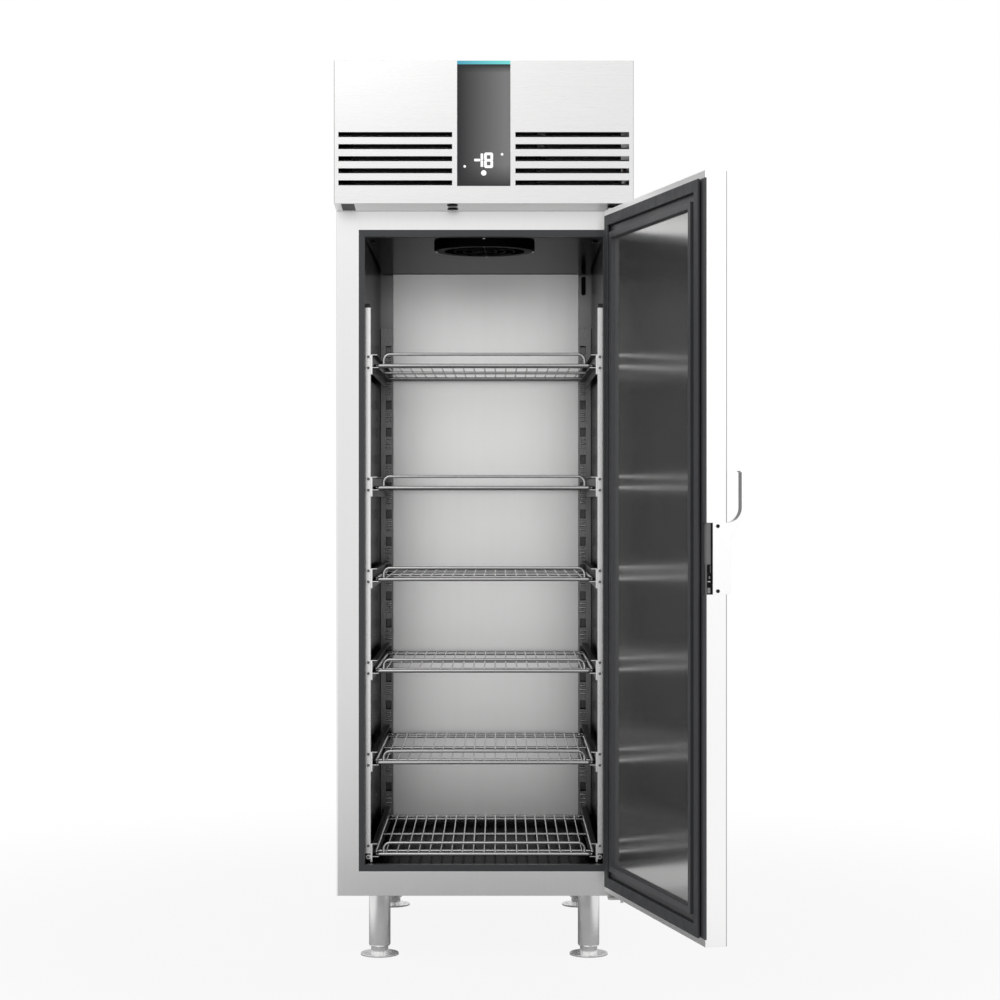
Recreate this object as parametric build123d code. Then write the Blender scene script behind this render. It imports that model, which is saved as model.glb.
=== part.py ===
from build123d import *
import os
from math import cos, radians, sin

# Upright catering freezer, in millimetres. The origin is on the floor under the middle of the
# cabinet, +X is to the right seen from the front, the door faces -Y and +Z is up.
# The door and what it carries are drawn shut and then swung open to the photographed angle.

# Cabinet
cabinet_width = 700.0
cabinet_depth = 780.0
leg_height = 150.0
body_height = 1621.0
unit_height = 342.0
sheet = 1.0
casing_bend = 4.0
lip_round = 4.0
lip_round_middle = 1.2
side_wall = 67.7
rear_wall = 61.0
base_wall = 73.0
top_wall = 60.0
stile_width = 53.4
bottom_rail = 57.7
top_rail = 44.0

# Breaker frame and its heater
breaker_depth = 18.0
breaker_thickness = 2.5
heater_size = 5.0
heater_inset = 4.1

# Ceiling panel, rear air duct and air slots
ceiling_drop_front = 1.0
ceiling_drop_rear = 20.3
ceiling_side_gap = 7.3
ceiling_rear_gap = 12.0
duct_half_width = 247.5
duct_depth = 22.0
duct_floor_gap = 17.0
duct_top_gap = 21.0
duct_slot_length = 90.0
duct_slot_height = 6.0
duct_slot_columns = 4
return_slot_length = 120.0
return_slot_width = 14.0
return_slot_count = 3

# Uprights, runners and shelves
upright_floor_gap = 21.0
upright_top_gap = 165.0
upright_width = 11.3
upright_depth = 30.5
upright_setback = 39.5
upright_sheet = 1.2
rear_upright_width = 33.0
rear_upright_depth = 26.0
rear_upright_side_gap = 1.3
upright_cap_height = 10.0
notch_gaps = 17
notch_top_margin = 62.7
notch_drop = 2.3
notch_rise = 5.5
notch_window = 24.0
notch_window_width = 15.4
notch_window_inset = 4.0
front_window_width = 10.0
upright_cap_chamfer = 2.0
shelf_notches = (0, 3, 6, 9, 12, 16)
runner_below = 21.0
runner_above = 26.0
runner_sheet = 1.5
runner_lower_flange = 14.5
runner_upper_flange = 11.5
runner_plate_width = 4.5
runner_ear = 5.5
runner_screw_inset = 4.9
runner_screw_rise = 7.4
runner_screw_spacing = 26.4
runner_screw = 4.0
runner_screw_length = 5.0
runner_screw_head = 6.5
runner_screw_head_height = 2.5
running_gap = 0.3
runner_floor_gap = 1.0
shelf_side_clearance = 1.5
shelf_setback = 3.0
shelf_depth = 650.0
shelf_side_wire = 8.0
shelf_front_wire = 8.7
shelf_thin_wire = 3.5
shelf_cross_wire = 7.0
shelf_wire_count = 19
shelf_wire_rise = 3.0
shelf_corner = 14.0
shelf_second_wire = 50.0
shelf_rail_wire = 7.0
shelf_rail_height = 27.0
shelf_rail_inset = 25.0
shelf_rail_corner = 15.0

# Legs and feet
leg_inset = 100.0
leg_inset_depth = 60.5
leg_diameter = 51.4
leg_wall = 2.0
leg_clearance = 21.0
leg_collar = 30.0
leg_top_thickness = 5.0
leg_stud = 12.0
leg_stud_length = 20.0
leg_plate = 90.0
leg_plate_thickness = 6.0
leg_plate_side_gap = 2.0
foot_neck = 41.0
foot_neck_height = 60.0
foot_flange = 91.0
foot_flange_thickness = 4.5
foot_hole = 7.0
foot_hole_radius = 32.5
foot_flange_round = 1.5
foot_play = 0.08

# Door
door_open_angle = 104.8
door_side_gap = 5.0
door_bottom_gap = 17.0
door_top_gap = 4.0
door_thickness = 48.0
door_front_gap = 9.0
door_bend = 3.0
gasket_gap = 0.3
gasket_width = 25.0
gasket_margin = 15.0
gasket_round = 2.0
door_frame_width = 31.0
door_frame_thickness = 3.0
door_rib_height = 10.0
door_rib_clearance = 1.6
groove_width = 1.5
groove_depth = 1.5
pivot_from_edge = 20.0
pivot_from_face = 11.0

# Hinges
pin_diameter = 12.0
pin_reach = 21.0
pin_play = 0.06
pin_head = 9.2
pin_head_height = 9.0
bush_wall = 3.0
bush_depth = 25.0
bush_shoulder = 11.0
bracket_reach = 62.0
bracket_flange = 3.0
bracket_corner = 6.0
bracket_inner_x = 59.0
bracket_edge_gap = 5.0
lower_bracket_rise = 1.0
lower_bracket_plate = 5.0
lower_bracket_height = 27.0
upper_bracket_plate = 3.0
upper_bracket_drop = 0.4
upper_bracket_height = 17.6
hinge_screw = 6.0
hinge_screw_head = 10.0
hinge_screw_head_height = 1.5
hinge_screw_length = 18.0
hinge_screw_spacing = 30.0
hinge_screw_share = 0.6

# Handle and lock, placed by height above the door's bottom edge
handle_bottom = 726.0
handle_plate_top = 874.0
handle_top = 981.0
handle_flare_start = 838.0
handle_flare_end = 898.0
handle_plate_proud = 6.0
handle_proud = 34.5
handle_wall = 3.2
handle_width = 49.0
handle_hook_width = 18.0
handle_wrap = 1.5
handle_curl = 3.0
handle_screw = 4.0
handle_screw_length = 11.0
handle_screw_head = 8.0
handle_screw_head_height = 2.0
handle_screw_inset = 11.0
handle_screw_from_end = 7.0
recess_width = 16.0
recess_depth = 42.0
lock_housing_height = 62.0
lock_housing_depth = 13.0
lock_cover_depth = 14.0
lock_room = 1.0
lock_cylinder_diameter = 16.0
lock_rise = 37.0
lock_from_edge = 25.0
lock_cam_length = 13.0
lock_cam_thickness = 4.0
lock_cam_width = 8.0
lock_chamber = 15.0
lock_face_proud = 1.5
keyway_width = 1.6
keyway_height = 8.0
keyway_depth = 7.5

# Fascia
fascia_overhang = 76.0
fascia_front_rise = 9.0
fascia_rear_rise = 0.3
fascia_sheet = 1.2
fascia_bend = 2.0
fascia_rear_gap = 0.5
fascia_hinge_radius = 4.0
fascia_pin = 3.0
ear_thickness = 3.0
ear_reach = 20.0
ear_arm = 12.0
ear_arm_rear = 12.0
ear_lug_wall = 1.0
ear_side_gap = 0.5
louvre_count = 5
louvre_pitch = 28.15
louvre_height = 11.8
louvre_lowest = 56.8
louvre_margin = 10.5
louvre_from_panel = 11.6
louvre_lip_depth = 8.0
louvre_lip_rise = 5.0
louvre_lip_sheet = 1.5
panel_width = 124.4
panel_bottom = 49.6
panel_proud = 0.6
panel_thickness = 5.0
panel_edge_round = 0.5
light_bar_height = 8.4
board_width = 100.0
board_height = 150.0
board_thickness = 16.0
board_rise = 20.0
switch_width = 31.0
switch_from_edge = 16.0
switch_margin = 5.0
switch_thickness = 3.0
catch_diameter = 25.0
catch_x = -73.5
catch_rows = (20.0, 56.0)
catch_proud = 1.5
catch_height = 9.0

# Refrigeration unit
fan_from_front = 150.0
fan_bore = 196.0
fan_tube_wall = 2.0
fan_ring_diameter = 244.6
fan_ring_drop = 19.5
fan_ring_wall = 2.5
fan_tube_rise = 3.0
guard_bars = 4
guard_bar = 3.0
guard_hoops = (30.0, 52.0, 74.0)
guard_wire = 2.0
fan_blade_gap = 4.0
fan_hub = 50.0
fan_blades = 5
fan_blade_pitch = 28.0
fan_blade_sheet = 2.0
fan_shaft = 8.0
evaporator_wheel_rise = 2.0
evaporator_wheel_height = 28.0
evaporator_motor = 60.0
evaporator_motor_rise = 34.0
evaporator_motor_height = 55.0
motor_arm_width = 10.0
motor_arm_thickness = 4.0
box_wall = 25.0
box_left_gap = 30.0
box_fan_gap = 1.0
box_rear_gap = 54.0
box_height = 290.0
box_corner = 12.0
coil_depth = 240.0
coil_height = 190.0
coil_rise = 18.0
coil_from_rear = 130.0
coil_side_gap = 25.0
coil_box_gap = 4.0
coil_plate = 4.0
coil_rows = 5
coil_columns = 3
condenser_left_gap = 20.0
condenser_right_gap = 25.0
condenser_front_gap = 10.0
condenser_depth = 60.0
condenser_height = 300.0
condenser_rise = 12.0
condenser_plate = 3.0
condenser_fins = 40
fin_share = 0.65
fin_depth = 3.0
condenser_rows = 6
shroud_sheet = 2.0
condenser_fan_bore = 166.0
condenser_fan_rise = 164.0
condenser_ring_length = 28.0
condenser_motor = 76.0
condenser_motor_depth = 45.0
condenser_wheel_depth = 18.0
condenser_hub = 44.0
condenser_wheel_setback = 5.0
condenser_arm_width = 8.0
condenser_arm_thickness = 3.0
compressor_diameter = 150.0
compressor_height = 170.0
compressor_from_rear = 330.0
compressor_base = 4.0
compressor_base_side = 2.0
compressor_base_end = 10.0
compressor_dome = 30.0
terminal_cover_width = 60.0
terminal_cover_proud = 22.0
terminal_cover_bottom = 50.0
terminal_cover_top = 110.0
stub_rise = 95.0
stub_reach = 6.0
stub_diameter = 10.0
suction_drop = 30.0
suction_stub = 14.0
suction_pipe = 12.0
mount_height = 14.0
mount_diameter = 24.0
mount_inset = 14.0
mount_inset_end = 4.0
mount_round = 2.0
pipe_diameter = 8.0
pipe_bend = 8.0
pipe_side_gap = 13.0
liquid_pipe_rise = 25.0
capillary = 4.0
capillary_bend = 10.0
capillary_rise = 20.0
return_bend_radius = 12.0
tray_width = 150.0
tray_depth = 130.0
tray_height = 40.0
tray_from_rear = 65.0
tray_wall = 2.0
drain_rise = 51.0
drain_diameter = 16.0
drain_reach = 40.0
drain_end = 20.0
drain_bend = 20.0
drier_diameter = 28.0
drier_length = 90.0
drier_rise = 45.0
drier_taper = 12.0
drier_inlet = 10.0
drier_setback = 105.0
drier_from_right = 50.0
control_box_width = 165.0
control_box_depth = 150.0
control_box_height = 120.0
control_box_from_front = 190.0
control_box_corner = 5.0
control_box_side_gap = 5.0
inlet_width = 48.0
inlet_height = 27.0
inlet_depth = 24.0
inlet_rise = 110.0
inlet_from_right = 90.0
inlet_bezel = 4.0
inlet_bezel_proud = 2.0
inlet_socket_side = 6.0
inlet_socket_end = 5.0
inlet_socket_depth = 16.0
inlet_blade = 2.0
inlet_blade_height = 6.0
inlet_blade_pitch = 10.0
inlet_blade_setback = 4.0
cover_lip = 20.0
cover_lip_inset = 12.0
vent_length = 150.0
vent_width = 8.0
vent_from_edge = 60.0
top_vents = 8
top_vent_pitch = 22.0
rear_vents = 6
rear_vent_pitch = 20.0

# What follows is worked out from the sizes above
fit_gap = 0.05
half_width = cabinet_width / 2
front_y = -cabinet_depth / 2
rear_y = cabinet_depth / 2
body_bottom = leg_height
body_top = leg_height + body_height
unit_top = body_top + unit_height
skin_half = half_width - sheet
skin_front = front_y + sheet
skin_rear = rear_y - sheet
liner_half = half_width - side_wall
liner_bottom = body_bottom + base_wall
liner_top = body_top - top_wall
liner_rear = rear_y - rear_wall
liner_front = front_y + breaker_depth
opening_half = half_width - stile_width
opening_bottom = body_bottom + bottom_rail
opening_top = body_top - top_rail
fan_tube_radius = fan_bore / 2 + fan_tube_wall
condenser_front = front_y + condenser_front_gap
condenser_rear = condenser_front + condenser_depth
fan_y = front_y + fan_from_front
box_front = fan_y - fan_tube_radius - box_fan_gap - box_wall
fan_hole = fan_tube_radius + fit_gap
duct_front = liner_rear - duct_depth
shelf_half = liner_half - upright_width - runner_sheet * 3 - shelf_side_clearance
upright_bottom = liner_bottom + upright_floor_gap
upright_top = liner_top - upright_top_gap
notch_pitch = (upright_top - upright_bottom - notch_top_margin) / notch_gaps
shelf_heights = [upright_bottom - notch_drop + notch_pitch * n for n in shelf_notches]
upright_inner = liner_half - upright_width
upright_front = front_y + upright_setback
rear_upright_inner = liner_half - rear_upright_side_gap - rear_upright_width
rear_upright_front = liner_rear - rear_upright_depth
web_inner = shelf_half + shelf_side_clearance
runner_front = upright_front - runner_sheet
shelf_front = runner_front + shelf_setback
leg_x = half_width - leg_inset
leg_y = rear_y - leg_inset_depth
door_half = half_width - door_side_gap
door_bottom = body_bottom + door_bottom_gap
door_top = body_top - door_top_gap
door_inner = front_y - door_front_gap
rib_half = liner_half - door_rib_clearance
rib_bottom = liner_bottom + door_rib_clearance
rib_top = liner_top - door_rib_clearance
door_outer = door_inner - door_thickness
flange_face = front_y - bracket_flange
pivot_x = door_half - pivot_from_edge
pivot_y = door_outer + pivot_from_face
gasket_half = opening_half + gasket_width
frame_half = opening_half - door_frame_width
frame_bottom = opening_bottom + door_frame_width
frame_top = opening_top - door_frame_width
bush_radius = pin_diameter / 2 + bush_wall
lower_plate_top = body_bottom + lower_bracket_rise + lower_bracket_plate
upper_bracket_top = body_top - upper_bracket_drop
fascia_front = front_y - fascia_overhang
fascia_rear = front_y - fascia_rear_gap
fascia_bottom = body_top + fascia_front_rise
fascia_axis_y = fascia_rear - fascia_hinge_radius
fascia_axis_z = unit_top - fascia_hinge_radius
glass_back = fascia_front - panel_proud + panel_thickness
box_right = fan_tube_radius + box_fan_gap + box_wall
box_left = -half_width + box_left_gap
box_rear = rear_y - box_rear_gap
condenser_right = half_width - condenser_right_gap
condenser_left = box_right + condenser_left_gap
condenser_fan_x = (condenser_left + condenser_right) / 2
condenser_fan_z = body_top + condenser_fan_rise
service_x = (box_right + half_width) / 2
compressor_y = rear_y - compressor_from_rear
tray_y = rear_y - tray_from_rear - tray_depth / 2
handle_z = door_bottom + handle_bottom
plate_top_z = door_bottom + handle_plate_top
lock_z = handle_z + lock_rise
lock_x = -door_half + lock_from_edge
recess_front = door_inner - recess_width
lock_housing_back = recess_front - lock_housing_depth
lock_face = door_outer - handle_plate_proud - lock_face_proud
inlet_x = half_width - inlet_from_right
inlet_z = body_top + inlet_rise
stub_z = body_top + mount_height + stub_rise
compressor_reach = compressor_diameter / 2 + stub_reach


def block(x0, x1, y0, y1, z0, z1):
    """A box between two limits on each axis."""
    size = Box(x1 - x0, y1 - y0, z1 - z0)
    return Pos((x0 + x1) / 2, (y0 + y1) / 2, (z0 + z1) / 2) * size


def rod_z(x, y, z0, z1, radius):
    return Pos(x, y, (z0 + z1) / 2) * Cylinder(radius, z1 - z0)


def rod_y(x, z, y0, y1, radius):
    return Pos(x, (y0 + y1) / 2, z) * Rot(90, 0, 0) * Cylinder(radius, y1 - y0)


def rod_x(y, z, x0, x1, radius):
    return Pos((x0 + x1) / 2, y, z) * Rot(0, 90, 0) * Cylinder(radius, x1 - x0)


def prism_x(points, x0, x1):
    """A polygon given as (y, z) points, drawn out along X."""
    outline = Polyline(*[(x0, y, z) for y, z in points], close=True)
    return extrude(make_face(outline), amount=x1 - x0, dir=(1, 0, 0))


def turned(points, x, y):
    """A profile of (radius, z) points, turned about a vertical axis."""
    outline = Polyline(*[(r, 0, z) for r, z in points], close=True)
    return Pos(x, y, 0) * revolve(make_face(outline), axis=Axis.Z)


def both_sides(piece):
    return [piece, mirror(piece, about=Plane.YZ)]


def round_front_edges(piece, radius):
    """Rounds the two upright edges that face the front."""
    edges = piece.edges().filter_by(Axis.Z).group_by(Axis.Y)[0]
    return fillet(edges, radius)


def less(piece, cutters):
    for cutter in cutters:
        piece = piece - cutter
    return piece


def solids_of(pieces):
    return [solid for piece in pieces for solid in piece.solids()]


def swung(pieces):
    """Door pieces, drawn shut, at the angle at which the photograph shows the door."""
    hinge_line = Axis((pivot_x, pivot_y, 0), (0, 0, 1))
    return [piece.rotate(hinge_line, door_open_angle) for piece in pieces]


def save(name, pieces):
    export_step(Compound(solids_of(pieces)), f"parts/{name}.step")


def hinge_screw_places():
    """Centre and height of each hinge screw."""
    middle = (half_width - bracket_inner_x + half_width - bracket_edge_gap) / 2
    places = []
    for side in (-1, 1):
        x = middle + side * hinge_screw_spacing / 2
        lower_z = body_bottom + lower_bracket_rise + lower_bracket_height * hinge_screw_share
        upper_z = upper_bracket_top - upper_bracket_height * hinge_screw_share
        places += [(x, lower_z), (x, upper_z)]
    return places


def hinge_screw_shanks(extra):
    return [
        rod_y(x, z, flange_face, flange_face + hinge_screw_length, hinge_screw / 2 + extra)
        for x, z in hinge_screw_places()
    ]


def hinge_screw_heads(extra):
    """The heads, sunk flush in the hinge flanges so that the door's corner swings past them."""
    end = flange_face + hinge_screw_head_height
    return [
        rod_y(x, z, flange_face - extra, end, hinge_screw_head / 2 + extra)
        for x, z in hinge_screw_places()
    ]


def leg_places():
    return [(x, y) for x in (-leg_x, leg_x) for y in (-leg_y, leg_y)]


def leg_studs(extra):
    top = body_bottom + leg_stud_length
    return [rod_z(x, y, body_bottom, top + extra, leg_stud / 2 + extra) for x, y in leg_places()]


def return_slots(z0, z1):
    """The slots through which cold air falls behind the rear duct."""
    pitch = return_slot_length * 1.15
    first = -pitch * (return_slot_count - 1) / 2 - return_slot_length / 2
    middle = duct_front + duct_depth / 2
    slots = []
    for n in range(return_slot_count):
        left = first + pitch * n
        right = min(left + return_slot_length, box_right - box_wall - sheet * 2)
        slots.append(block(left, right, middle - return_slot_width / 2,
                           middle + return_slot_width / 2, z0, z1))
    return slots


def breaker_envelope():
    flange = block(-opening_half, opening_half, front_y, front_y + breaker_thickness,
                   opening_bottom, opening_top)
    wall = breaker_thickness
    lip = block(-liner_half - wall, liner_half + wall, front_y, liner_front,
                liner_bottom - wall, liner_top + wall)
    return flange + lip


def make_breaker_frame():
    hole = block(-liner_half, liner_half, front_y - 1, liner_front + 1, liner_bottom, liner_top)
    return [breaker_envelope() - hole]


def make_frame_heater():
    outer = heater_inset
    inner = heater_inset + heater_size
    back = front_y + breaker_thickness
    ring = block(-opening_half + outer, opening_half - outer, back, back + heater_size,
                 opening_bottom + outer, opening_top - outer)
    hole = block(-opening_half + inner, opening_half - inner, back - 1, back + heater_size + 1,
                 opening_bottom + inner, opening_top - inner)
    return [ring - hole]


def make_outer_casing():
    outer = block(-half_width, half_width, front_y, rear_y, body_bottom, body_top)
    inner = block(-skin_half, skin_half, skin_front, rear_y + 1, body_bottom - 1, body_top + 1)
    shell = round_front_edges(outer, casing_bend) - round_front_edges(inner, casing_bend - sheet)
    opening = block(-opening_half, opening_half, front_y - 1, skin_front + 1,
                    opening_bottom, opening_top)
    return [less(shell, [opening] + hinge_screw_shanks(fit_gap))]


def make_back_panel():
    return [block(-skin_half, skin_half, skin_rear, rear_y, body_bottom, body_top)]


def make_base_panel():
    plate = block(-skin_half, skin_half, skin_front, skin_rear, body_bottom, body_bottom + sheet)
    return [less(round_front_edges(plate, casing_bend - sheet), leg_studs(fit_gap))]


def make_top_deck():
    plate = block(-skin_half, skin_half, skin_front, skin_rear, body_top - sheet, body_top)
    plate = round_front_edges(plate, casing_bend - sheet)
    fan_opening = rod_z(0, fan_y, body_top - 5, body_top + 5, fan_hole)
    return [less(plate, [fan_opening] + return_slots(body_top - 5, body_top + 5))]


def make_inner_liner():
    outer = block(-liner_half - sheet, liner_half + sheet, liner_front, liner_rear + sheet,
                  liner_bottom - sheet, liner_top + sheet)
    inner = block(-liner_half, liner_half, liner_front - 1, liner_rear, liner_bottom, liner_top)
    fan_opening = rod_z(0, fan_y, liner_top - 5, liner_top + 5, fan_hole)
    return [less(outer - inner, [fan_opening] + return_slots(liner_top - 5, liner_top + 5))]


def make_insulation():
    room = block(-skin_half, skin_half, skin_front, skin_rear, body_bottom + sheet,
                 body_top - sheet)
    room = round_front_edges(room, casing_bend - sheet)
    side = liner_half + sheet
    low = liner_bottom - sheet
    high = liner_top + sheet
    far = half_width * 2
    slabs = [
        block(-far, far, front_y, rear_y, 0, low),
        block(-far, far, front_y, rear_y, high, unit_top),
        block(-far, -side, front_y, rear_y, low, high),
        block(side, far, front_y, rear_y, low, high),
        block(-side, side, liner_rear + sheet, rear_y, low, high),
    ]
    cutters = [breaker_envelope()] + make_frame_heater() + hinge_screw_shanks(fit_gap)
    cutters += leg_plates() + leg_studs(fit_gap)
    cutters += [rod_z(0, fan_y, high - 5, body_top, fan_hole)] + return_slots(high - 5, body_top)
    return [less(slab & room, cutters) for slab in slabs]


def leg_plates():
    low = body_bottom + sheet
    half = leg_plate / 2
    plates = []
    for x, y in leg_places():
        inward = half + leg_stud / 2
        side = skin_half - leg_plate_side_gap
        x0 = min(x + half, side) - leg_plate if x > 0 else max(x - half, -side)
        plate = block(x0, x0 + leg_plate, y - half, y + half, low, low + leg_plate_thickness)
        plates.append(less(plate, [rod_z(x, y, low - inward, low + inward, leg_stud / 2 + fit_gap)]))
    return plates


def make_legs():
    pieces = list(leg_plates())
    outer = leg_diameter / 2
    bore = foot_neck / 2 + foot_play
    top = body_bottom
    profile = [
        (bore, leg_clearance), (outer - lip_round, leg_clearance),
        (outer - lip_round_middle, leg_clearance + lip_round_middle),
        (outer, leg_clearance + lip_round), (outer, top), (0, top), (0, top - leg_top_thickness),
        (outer - leg_wall, top - leg_top_thickness), (outer - leg_wall, leg_clearance + leg_collar),
        (bore, leg_clearance + leg_collar),
    ]
    for x, y in leg_places():
        stud = rod_z(x, y, top - 1, top + leg_stud_length, leg_stud / 2)
        pieces.append(turned(profile, x, y) + stud)
    return pieces


def make_foot(x, y):
    neck = rod_z(x, y, 0, foot_neck_height, foot_neck / 2)
    flange = rod_z(x, y, 0, foot_flange_thickness, foot_flange / 2)
    flange = fillet(flange.edges().group_by(Axis.Z)[-1], foot_flange_round)
    holes = [
        rod_z(x + side * foot_hole_radius, y, -1, foot_flange_thickness + 1, foot_hole / 2)
        for side in (-1, 1)
    ]
    return [less(neck + flange, holes)]


def make_ceiling_panel():
    half = liner_half - ceiling_side_gap
    low_front = liner_top - ceiling_drop_front
    low_rear = liner_top - ceiling_drop_rear
    rear = duct_front - ceiling_rear_gap
    plate = prism_x([(liner_front, low_front), (rear, low_rear), (rear, low_rear + sheet),
                     (liner_front, low_front + sheet)], -half, half)
    side_profile = [(liner_front, low_front), (rear, low_rear), (rear, liner_top),
                    (liner_front, liner_top)]
    sides = both_sides(prism_x(side_profile, half - sheet, half))
    tray = plate + sides[0] + sides[1]
    hole = rod_z(0, fan_y, low_rear - 20, liner_top + 5, fan_ring_diameter / 2 + fit_gap)
    return [tray - hole]


def make_rear_air_duct():
    bottom = liner_bottom + duct_floor_gap
    top = liner_top - duct_top_gap
    outer = block(-duct_half_width, duct_half_width, duct_front, liner_rear, bottom, top)
    inner = block(-duct_half_width + sheet, duct_half_width - sheet, duct_front + sheet,
                  liner_rear + 1, bottom - 1, top + 1)
    slots = []
    column_pitch = duct_half_width * 2 / duct_slot_columns
    half_slot = duct_slot_height / 2
    for height in shelf_heights:
        for column in range(duct_slot_columns):
            x = -duct_half_width + column_pitch * (column + 0.5)
            slots.append(block(x - duct_slot_length / 2, x + duct_slot_length / 2,
                               duct_front - 1, duct_front + sheet + 1,
                               height - half_slot, height + half_slot))
    return [less(outer - inner, slots)]


def notch_heights():
    first = upright_bottom - notch_drop + notch_rise
    return [first + notch_pitch * (n + 1) for n in range(notch_gaps)]


def front_upright():
    outer = block(upright_inner, liner_half, upright_front, upright_front + upright_depth,
                  upright_bottom, upright_top)
    inner = block(upright_inner + upright_sheet, liner_half + 1, upright_front + upright_sheet,
                  upright_front + upright_depth - upright_sheet, upright_bottom - 1,
                  upright_top + 1)
    middle = upright_front + upright_depth / 2
    half_window = front_window_width / 2
    windows = [
        block(upright_inner - 1, upright_inner + upright_sheet + 1, middle - half_window,
              middle + half_window, z - notch_window / 2, z + notch_window / 2)
        for z in notch_heights()
    ]
    return less(outer - inner, windows + runner_screw_shanks(fit_gap))


def rear_upright():
    x0 = rear_upright_inner
    x1 = x0 + rear_upright_width
    outer = block(x0, x1, rear_upright_front, liner_rear, upright_bottom, upright_top)
    inner = block(x0 + upright_sheet, x1 - upright_sheet, rear_upright_front + upright_sheet,
                  liner_rear + 1, upright_bottom - 1, upright_top + 1)
    left = x0 + notch_window_inset
    windows = [
        block(left, left + notch_window_width, rear_upright_front - 1,
              rear_upright_front + upright_sheet + 1, z - notch_window / 2, z + notch_window / 2)
        for z in notch_heights()
    ]
    return less(outer - inner, windows)


def make_uprights():
    return both_sides(front_upright()) + both_sides(rear_upright())


def make_upright_caps():
    cap = block(upright_inner, liner_half, upright_front, upright_front + upright_depth,
                upright_top, upright_top + upright_cap_height)
    return both_sides(chamfer(cap.edges().group_by(Axis.Z)[-1], upright_cap_chamfer))


def runner_screw_places():
    x = upright_inner + runner_screw_inset
    middles = [height + runner_screw_rise for height in shelf_heights]
    return [(x, z + side * runner_screw_spacing / 2) for z in middles for side in (-1, 1)]


def runner_screw_shanks(extra):
    end = runner_front + runner_screw_length + 1
    return [rod_y(x, z, runner_front - 1 + extra, end, runner_screw / 2 + extra)
            for x, z in runner_screw_places()]


def make_shelf_runners():
    pieces = []
    rear = rear_upright_front
    flange_top = shelf_side_wire / 2 + running_gap
    for height in shelf_heights:
        low = max(height - runner_below, liner_bottom + runner_floor_gap)
        high = height + runner_above
        web = block(web_inner, web_inner + runner_sheet, runner_front, rear, low, high)
        shelf_flange = block(web_inner - runner_lower_flange, web_inner, runner_front, rear,
                             height - flange_top - runner_sheet, height - flange_top)
        top_flange = block(web_inner - runner_upper_flange, web_inner, runner_front, rear,
                           high - runner_sheet, high)
        front = block(web_inner, web_inner + runner_plate_width, runner_front, upright_front,
                      low, high)
        runner = web + shelf_flange + top_flange + front
        for x, z in runner_screw_places():
            if low < z < high:
                runner = runner + rod_y(x, z, runner_front, upright_front, runner_ear)
        pieces += both_sides(less(runner, runner_screw_shanks(fit_gap)))
    return pieces


def make_fixing_screws():
    pieces = []
    for x, z in runner_screw_places():
        head = rod_y(x, z, runner_front - runner_screw_head_height, runner_front,
                     runner_screw_head / 2)
        shank = rod_y(x, z, runner_front - 1, runner_front + runner_screw_length,
                      runner_screw / 2)
        pieces += both_sides(head + shank)
    for head, shank in zip(hinge_screw_heads(0.0), hinge_screw_shanks(0.0)):
        pieces.append(head + shank)
    return pieces


def shelf_frame():
    wire = shelf_side_wire
    half = shelf_half - wire / 2
    front = shelf_front + wire / 2
    rear = front + shelf_depth - wire
    corner = RectangleRounded(2 * half, rear - front, shelf_corner).wire()
    loop = Pos(0, (front + rear) / 2, 0) * corner
    start = loop @ 0
    section = Plane(start, z_dir=loop % 0) * Circle(wire / 2)
    return sweep(section, path=loop)


def shelf_wires():
    front = shelf_front + shelf_side_wire / 2
    rear = front + shelf_depth - shelf_side_wire
    half = shelf_half - shelf_side_wire / 2
    wires = []
    pitch = 2 * half / (shelf_wire_count + 1)
    for n in range(1, shelf_wire_count + 1):
        wires.append(rod_y(-half + pitch * n, shelf_wire_rise, front, rear, shelf_thin_wire / 2))
    for y in (front + shelf_second_wire, (front + rear) / 2, rear - shelf_second_wire):
        wires.append(rod_x(y, 0, -half, half, shelf_cross_wire / 2))
    bar_half = web_inner - runner_lower_flange - 3.0
    wires.append(rod_x(front, 0, -bar_half, bar_half, shelf_front_wire / 2))
    return wires


def shelf_rail():
    """The low bent wire along the shelf's front edge that keeps the load on it."""
    y = shelf_front + shelf_side_wire / 2
    half = shelf_half - shelf_rail_inset
    low = shelf_front_wire / 2
    high = shelf_rail_height
    points = [(-half, y, low), (-half, y, high), (half, y, high), (half, y, low)]
    path = FilletPolyline(*points, radius=shelf_rail_corner)
    section = Plane(points[0], z_dir=(0, 0, 1)) * Circle(shelf_rail_wire / 2)
    return sweep(section, path=path)


def shelf_at_floor():
    """One shelf at height 0, to be lifted to each of the shelf heights."""
    grid = shelf_frame()
    for wire in shelf_wires():
        grid = grid + wire
    return [grid, shelf_rail()]


def make_hinge_brackets():
    x0 = half_width - bracket_inner_x
    x1 = half_width - bracket_edge_gap
    low = body_bottom + lower_bracket_rise
    lower = block(x0, x1, front_y - bracket_reach, front_y, low, low + lower_bracket_plate)
    lower = fillet(lower.edges().filter_by(Axis.Z).group_by(Axis.Y)[0], bracket_corner)
    lower = lower + block(x0, x1, flange_face, front_y,
                          low, low + lower_bracket_height)
    high = upper_bracket_top
    upper = block(x0, x1, front_y - bracket_reach, front_y, high - upper_bracket_plate, high)
    upper = fillet(upper.edges().filter_by(Axis.Z).group_by(Axis.Y)[0], bracket_corner)
    upper = upper + block(x0, x1, flange_face, front_y,
                          high - upper_bracket_height, high)
    pin_hole = rod_z(pivot_x, pivot_y, 0, unit_top, pin_diameter / 2)
    cutters = [pin_hole] + hinge_screw_shanks(fit_gap) + hinge_screw_heads(fit_gap)
    return [less(lower, cutters), less(upper, cutters)]


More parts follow.
